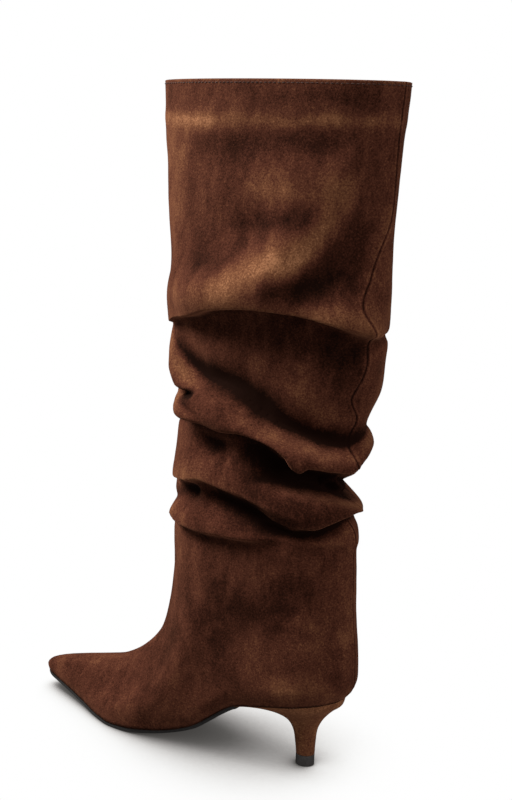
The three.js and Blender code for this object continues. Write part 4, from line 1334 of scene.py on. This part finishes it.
    def lining(self, column: Array, level: Array, out: Array) -> Array:
        """The lining, clear inside every fold.

        Args:
            column: Column angles as a grid.
            level: Levels as a grid.
            out: The relief, in millimetres.

        Returns:
            Its loops from the collar down, in millimetres.
        """
        form, span = self.form, self.lining_step
        shaft = np.arange(len(level) - 1, self.foot_rows, -span)
        foot = np.arange(self.foot_rows, self.first_lined, -span // 3)
        picks = np.concatenate([shaft, foot])
        lowest = np.array([out[max(0, p - span):p + span + 1].min(axis=0) for p in picks])
        at = level[picks]
        places = form.face(column[picks], at, lowest, np.zeros_like(lowest))
        around = np.roll(places, -1, axis=1) - np.roll(places, 1, axis=1)
        inward = np.cross(around, np.gradient(places, axis=0))
        inward[0, :, 2] = 0
        inward /= np.linalg.norm(inward, axis=-1, keepdims=True)
        ease = self.lining_ease * smooth((2 - at) / self.lining_ease_below)
        ease = ease * smooth((at - self.lining_ease_from) / self.lining_ease_blend)
        return places + inward * (form.wall + ease)[..., None]


@dataclass
class CollarStitching(Piece):
    """The lockstitch row just under the edge of the collar."""

    form: BootForm
    below_edge: float = 2.0
    pitch: float = 3.1
    length: float = 2.3
    radius: float = 0.32
    end_share: float = 0.25
    sunk: float = 0.12
    sides: int = 6
    rings: int = 5
    line_steps: int = 1441

    def build(self) -> Object:
        """Builds all stitches as one mesh of small spindles along the collar.

        Returns:
            The stitches.
        """
        form = self.form
        column = np.linspace(0, 2 * np.pi, self.line_steps)
        level = np.full_like(column, 2 - self.below_edge / form.shaft_height)
        out, drop, _ = form.relief(column, level)
        line = form.face(column, level, out, drop)
        steps = np.linalg.norm(np.diff(line, axis=0), axis=1)
        along = np.concatenate([[0], np.cumsum(steps)])
        count = round(along[-1] / self.pitch)
        places, faces = [], []
        for middle in np.arange(count) * along[-1] / count:
            start, end = (
                np.array([np.interp(middle + s, along, line[:, k], period=along[-1]) for k in range(3)])
                for s in (-self.length / 2, self.length / 2))
            faces += self.spindle_faces(len(places))
            places += self.spindle(start, end)
        return mesh_object("collar_stitches", np.array(places), faces)

    def spindle(self, start: Array, end: Array) -> list[Array]:
        """Points of one stitch.

        Args:
            start: Where the thread leaves the suede.
            end: Where it goes in again.

        Returns:
            The points, ring by ring.
        """
        axis = (end - start) / np.linalg.norm(end - start)
        outward = np.cross(axis, (0, 0, 1.0))
        places = []
        for ring in range(self.rings):
            s = ring / (self.rings - 1)
            full = self.end_share + (1 - self.end_share) * math.sin(math.pi * s)
            thick = self.radius * full
            centre = start + (end - start) * s + outward * (thick - self.sunk)
            for turn in np.arange(self.sides) * 2 * np.pi / self.sides:
                upright = np.array((0, 0, thick * math.sin(turn)))
                places.append(centre + outward * thick * math.cos(turn) + upright)
        return places

    def spindle_faces(self, base: int) -> list[tuple[int, ...]]:
        """Faces of one stitch.

        Args:
            base: Number of its first point.

        Returns:
            Its sides and then its two ends.
        """
        last = base + (self.rings - 1) * self.sides
        faces = []
        for low in range(base, last, self.sides):
            for side in range(self.sides):
                a, b = low + side, low + (side + 1) % self.sides
                faces.append((a, a + self.sides, b + self.sides, b))
        return faces + [
            tuple(range(base, base + self.sides)),
            tuple(reversed(range(last, last + self.sides))),
        ]


@dataclass
class Heel(Piece):
    """The low curved heel block under its suede cover, from the seat down to the tip."""

    nodes = ("heel",)

    form: BootForm
    tip: tuple[Vector, Vector]
    columns: int = 96
    rows_per_section: int = 7
    breast_hollow: float = 1.5
    halfway_hollow: float = 0.75
    rubbed: float = 0.85
    seat_lightening: float = 0.3

    def plan(self) -> Array:
        """The seat's plan with its hollowed front.

        Returns:
            Its points, from the middle of the front over the outer side.
        """
        form = self.form
        angles = np.linspace(form.breast_angle, 2 * np.pi - form.breast_angle, self.columns)
        side = form.inset(angles, even(form.gap))
        side[[0, -1], 0] -= form.gap

        def front(y: float, share: float) -> Array:
            """A point of the front at a share of its hollow."""
            x = side[0, 0] - self.breast_hollow * share
            return np.array([x, y, float(form.feather_height((x - form.back_x) / form.seat_length))])

        outer, inner = (front(side[end, 1] / 2, self.halfway_hollow) for end in (0, -1))
        return np.array([front(0, 1), outer, *side, inner])

    def build(self) -> Object:
        """Builds the cover through smooth sections between the seat and the tip.

        Returns:
            The cover with its nap tone, lighter towards the seat.
        """
        form, plan = self.form, self.plan()
        low, high = (np.array(corner) / MM for corner in self.tip)
        length, width, lift = high[0] - low[0], high[1] - low[1], high[2]
        back_x, front_x = plan[:, 0].min(), plan[:, 0].max()
        widest = np.abs(plan[:, 1]).max()
        share = (plan[:, 0] - back_x) / (front_x - back_x)
        turn = np.arctan2(plan[:, 1] / widest, share * 2 - 1)
        turn[0] = 0
        loops = [points(length / 2 * np.cos(turn), width / 2 * np.sin(turn), lift + form.gap)]
        for zback, zfront, back, ahead, wide, square in reversed(HEEL.rows):
            s = square * share + (1 - square) * (1 + np.cos(turn)) / 2
            y = square * plan[:, 1] / widest + (1 - square) * np.sin(turn)
            loops.append(points(
                length * (back + (ahead - back) * s),
                width / 2 * wide * y,
                form.heel_height * (zback + (zfront - zback) * s),
            ))
        loops.append(plan - [0, 0, form.gap])
        fine = self.smoothed(np.array(loops))
        piece = shell("heel_cover", fine)
        tone = self.rubbed + self.seat_lightening * np.linspace(0, 1, len(fine)) ** 2
        set_nap_and_shade(piece, np.repeat(tone, fine.shape[1]))
        return piece

    def smoothed(self, loops: Array) -> Array:
        """Rounds the stack of sections with a curve through each column of points.

        Args:
            loops: The sections.

        Returns:
            The sections with more of them between.
        """
        steps = np.linspace(0, len(loops) - 1, (len(loops) - 1) * self.rows_per_section + 1)
        i = np.clip(steps.astype(int), 0, len(loops) - 2)
        s = (steps - i)[:, None, None]
        before, start = loops[np.maximum(i - 1, 0)], loops[i]
        end, after = loops[i + 1], loops[np.minimum(i + 2, len(loops) - 1)]
        turn_in, turn_out = (end - before) / 2, (after - start) / 2
        return ((2 * s ** 3 - 3 * s ** 2 + 1) * start + (s ** 3 - 2 * s ** 2 + s) * turn_in
                + (3 * s ** 2 - 2 * s ** 3) * end + (s ** 3 - s ** 2) * turn_out)


@dataclass
class TopLift(Piece):
    """The heel tip that meets the floor."""

    slot = Slot.RUBBER
    nodes = ("top_lift",)
    crisp_degrees = 35.0

    tip: tuple[Vector, Vector]
    steps: int = 72
    chamfer: float = 0.6
    worn_edge: Rows = ((1.0, 0.0), (0.45, 0.12), (0.12, 0.45), (0.0, 1.0))
    top_edge: float = 0.2

    def build(self) -> Object:
        """Builds the tip with a worn, rounded lower edge.

        Returns:
            The tip.
        """
        low, high = (np.array(corner) / MM for corner in self.tip)
        half = (high - low) / 2
        turn = np.linspace(0, 2 * np.pi, self.steps, endpoint=False)
        sections = [(inwards * self.chamfer, up * self.chamfer) for inwards, up in self.worn_edge]
        sections += [(0.0, high[2] - self.top_edge), (self.top_edge, high[2])]
        return shell("top_lift_tip", np.array([
            points((half[0] - shrink) * np.cos(turn), (half[1] - shrink) * np.sin(turn), height)
            for shrink, height in sections
        ]))


@dataclass
class Outsole(Piece):
    """The thin pointed sole from the toe to the heel breast."""

    slot = Slot.RUBBER
    nodes = ("outsole",)
    crisp_degrees = 35.0

    form: BootForm
    columns: int = 181
    bevel_share: float = 0.25
    round_share: float = 0.3

    def tuck(self, along: Any) -> Any:
        """How far the sole's edge stays inside the feather line."""
        form = self.form
        return form.outsole_tuck * (1 - smooth((along - form.waist_end) / form.waist_blend)) + form.gap

    def cut(self, bevel: float) -> Array:
        """The sole's edge, closed across the breast.

        Args:
            bevel: How far it is cut back for the bevel.

        Returns:
            Its points at the height of the feather line.
        """
        angles = np.linspace(-self.form.breast_angle, self.form.breast_angle, self.columns)
        line = self.form.inset(angles, lambda along: self.tuck(along) + bevel)
        return np.concatenate([[[line[0, 0], 0, line[0, 2]]], line])

    def build(self) -> Object:
        """Builds the sole with its bevelled edge and its flat spot under the ball.

        Returns:
            The sole.
        """
        gap, thick = self.form.gap, self.form.outsole
        bevel = thick * self.bevel_share
        round_off = bevel * self.round_share
        tread, turn, edge = self.cut(bevel), self.cut(round_off), self.cut(0.0)
        floor = np.maximum(0, edge[:, 2] - gap - thick - gap)
        return shell("outsole_sheet", np.array([
            points(tread[:, 0], tread[:, 1], np.maximum(0, tread[:, 2] - 2 * gap - thick)),
            points(turn[:, 0], turn[:, 1], floor + round_off),
            points(edge[:, 0], edge[:, 1], floor + bevel),
            points(edge[:, 0], edge[:, 1], edge[:, 2] - gap),
        ]))


@dataclass
class Insole(Piece):
    """The sock on its board, which closes the upper from inside."""

    slot = Slot.SOCK
    nodes = ("insole",)
    crisp_degrees = 35.0

    form: BootForm
    columns: int = 180
    toe_from: float = 0.6
    toe_blend: float = 0.3

    def clear(self, along: Any) -> Any:
        """How far the board stays inside the feather line."""
        form, toe = self.form, smooth((along - self.toe_from) / self.toe_blend)
        return form.wall + form.gap + form.insole_ease + form.insole_toe_ease * toe

    def build(self) -> Object:
        """Builds the board just above the lasting margin.

        Returns:
            The board with its sock.
        """
        form = self.form
        line = form.inset(np.linspace(0, 2 * np.pi, self.columns, endpoint=False), self.clear)
        low = line + [0, 0, form.wall + form.gap]
        return shell("insole_sock", np.array([low, low + [0, 0, form.insole]]))


@dataclass(frozen=True)
class Studio:
    """Pale floor, a soft key lamp from the upper left, a weak fill from the right, and the camera.

    Places and sizes are in metres and angles in degrees.
    """

    camera_place: tuple[float, float, float] = (-0.44065, 0.75553, 0.41981)
    heading: float = 33.0
    pitch: float = -10.96
    roll: float = 2.017
    focal_px: float = 1375.37
    long_side_px: float = 800.0
    sensor: float = 36.0
    nearest: float = 0.01
    floor_size: float = 12.0
    floor_grey: float = 0.22
    shadow_reach: float = 0.12
    shadow_samples: int = 24
    shadow_stops: Stops = ((0.0, "3a3836"), (0.35, "5c5a58"), (0.48, "989593"),
                           (0.62, "dcdad8"), (0.74, "f8f8f7"), (0.84, "ffffff"))
    ambient: float = 0.16
    aim: tuple[float, float, float] = (0.03, 0.0, 0.22)
    key_from: tuple[float, float, float] = (0.95, 0.60, 1.05)
    key_size: float = 0.55
    key_power: float = 34.0
    fill_from: tuple[float, float, float] = (-1.4, 0.35, 0.6)
    fill_size: float = 1.2
    fill_power: float = 12.0

    def camera(self) -> None:
        """Makes the camera at the photograph's angle, with its slight roll."""
        heading, pitch, roll = (math.radians(a) for a in (self.heading, self.pitch, self.roll))
        level = Vector((math.sin(heading), -math.cos(heading), 0))
        ahead = level * math.cos(pitch) + Vector((0, 0, 1)) * math.sin(pitch)
        right = ahead.cross(Vector((0, 0, 1))).normalized()
        above = right.cross(ahead)
        turned_right = right * math.cos(roll) + above * math.sin(roll)
        turned_above = above * math.cos(roll) - right * math.sin(roll)
        camera = bpy.data.objects.new("camera", bpy.data.cameras.new("camera"))
        camera.data.sensor_width = self.sensor
        camera.data.lens = self.focal_px / self.long_side_px * self.sensor
        camera.data.clip_start = self.nearest
        axes = Matrix((turned_right, turned_above, -ahead)).transposed()
        camera.matrix_world = Matrix.Translation(self.camera_place) @ axes.to_4x4()
        bpy.context.scene.collection.objects.link(camera)
        bpy.context.scene.camera = camera

    def lamp(self, name: str, place: Sequence[float], size: float, power: float) -> None:
        """A square soft box that looks at the boot.

        Args:
            name: The lamp's name.
            place: Where it stands, from the aim point.
            size: Its side.
            power: Its power in watts.
        """
        light = bpy.data.lights.new(name, "AREA")
        light.size = size
        light.energy = power
        lamp = bpy.data.objects.new(name, light)
        lamp.location = Vector(self.aim) + Vector(place)
        lamp.rotation_euler = (-Vector(place)).to_track_quat("-Z", "Y").to_euler()
        bpy.context.scene.collection.objects.link(lamp)

    def surroundings(self) -> None:
        """Makes the white background, which lights the boot only dimly."""
        world = bpy.data.worlds.new("studio")
        world.use_nodes = True
        tree = world.node_tree
        tree.nodes.clear()
        dim, white = (
            add_node(tree, "Background", {"Color": (1, 1, 1, 1), "Strength": strength}).outputs[0]
            for strength in (self.ambient, 1.0))
        add_node(tree, "OutputWorld", {}, {"Surface": seen_apart(tree, dim, white)})
        bpy.context.scene.world = world

    def floor(self) -> None:
        """Makes the white floor: the camera sees it evenly lit, with the soft shadow of contact."""
        half = self.floor_size / 2 / MM
        corners = np.array([(-half, -half, 0), (half, -half, 0), (half, half, 0), (-half, half, 0)])
        floor = mesh_object("floor", corners, [(0, 1, 2, 3)])
        material, tree = new_material("white_floor")
        grey = (self.floor_grey, self.floor_grey, self.floor_grey, 1)
        bounced = add_node(tree, "BsdfDiffuse", {"Color": grey}).outputs[0]
        open_sky = add_node(tree, "AmbientOcclusion", {
            "samples": self.shadow_samples, "Distance": self.shadow_reach}).outputs["AO"]
        shade = add_node(tree, "ValToRGB", {"stops": self.shadow_stops}, {"Fac": open_sky})
        shown = add_node(tree, "Emission", {}, {"Color": shade.outputs["Color"]}).outputs[0]
        add_node(tree, "OutputMaterial", {}, {"Surface": seen_apart(tree, bounced, shown)})
        floor.data.materials.append(material)

    def build(self) -> None:
        """Sets up camera, floor, background and lamps."""
        bpy.context.scene.view_settings.view_transform = "Standard"
        self.camera()
        self.surroundings()
        self.floor()
        self.lamp("key_softbox", self.key_from, self.key_size, self.key_power)
        self.lamp("fill_softbox", self.fill_from, self.fill_size, self.fill_power)


def main() -> None:
    """Builds the studio and the boot, piece by piece."""
    logging.basicConfig(level=logging.INFO, format="%(name)s: %(message)s")
    Studio().build()
    form = BootForm()
    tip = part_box("top_lift")
    suede = Suede().material()
    lining = LINING_LEATHER.material()
    rubber = SOLE_RUBBER.material()
    pieces: tuple[tuple[Piece, tuple[Material, ...]], ...] = (
        (Upper(form), (suede, lining)),
        (CollarStitching(form), (THREAD.material(),)),
        (Heel(form, tip), (suede,)),
        (TopLift(tip), (TIP_URETHANE.material(),)),
        (Outsole(form), (rubber,)),
        (Insole(form), (lining,)),
    )
    for piece, materials in pieces:
        piece.dress(piece.build(), *materials)


if __name__ == "__main__":
    main()
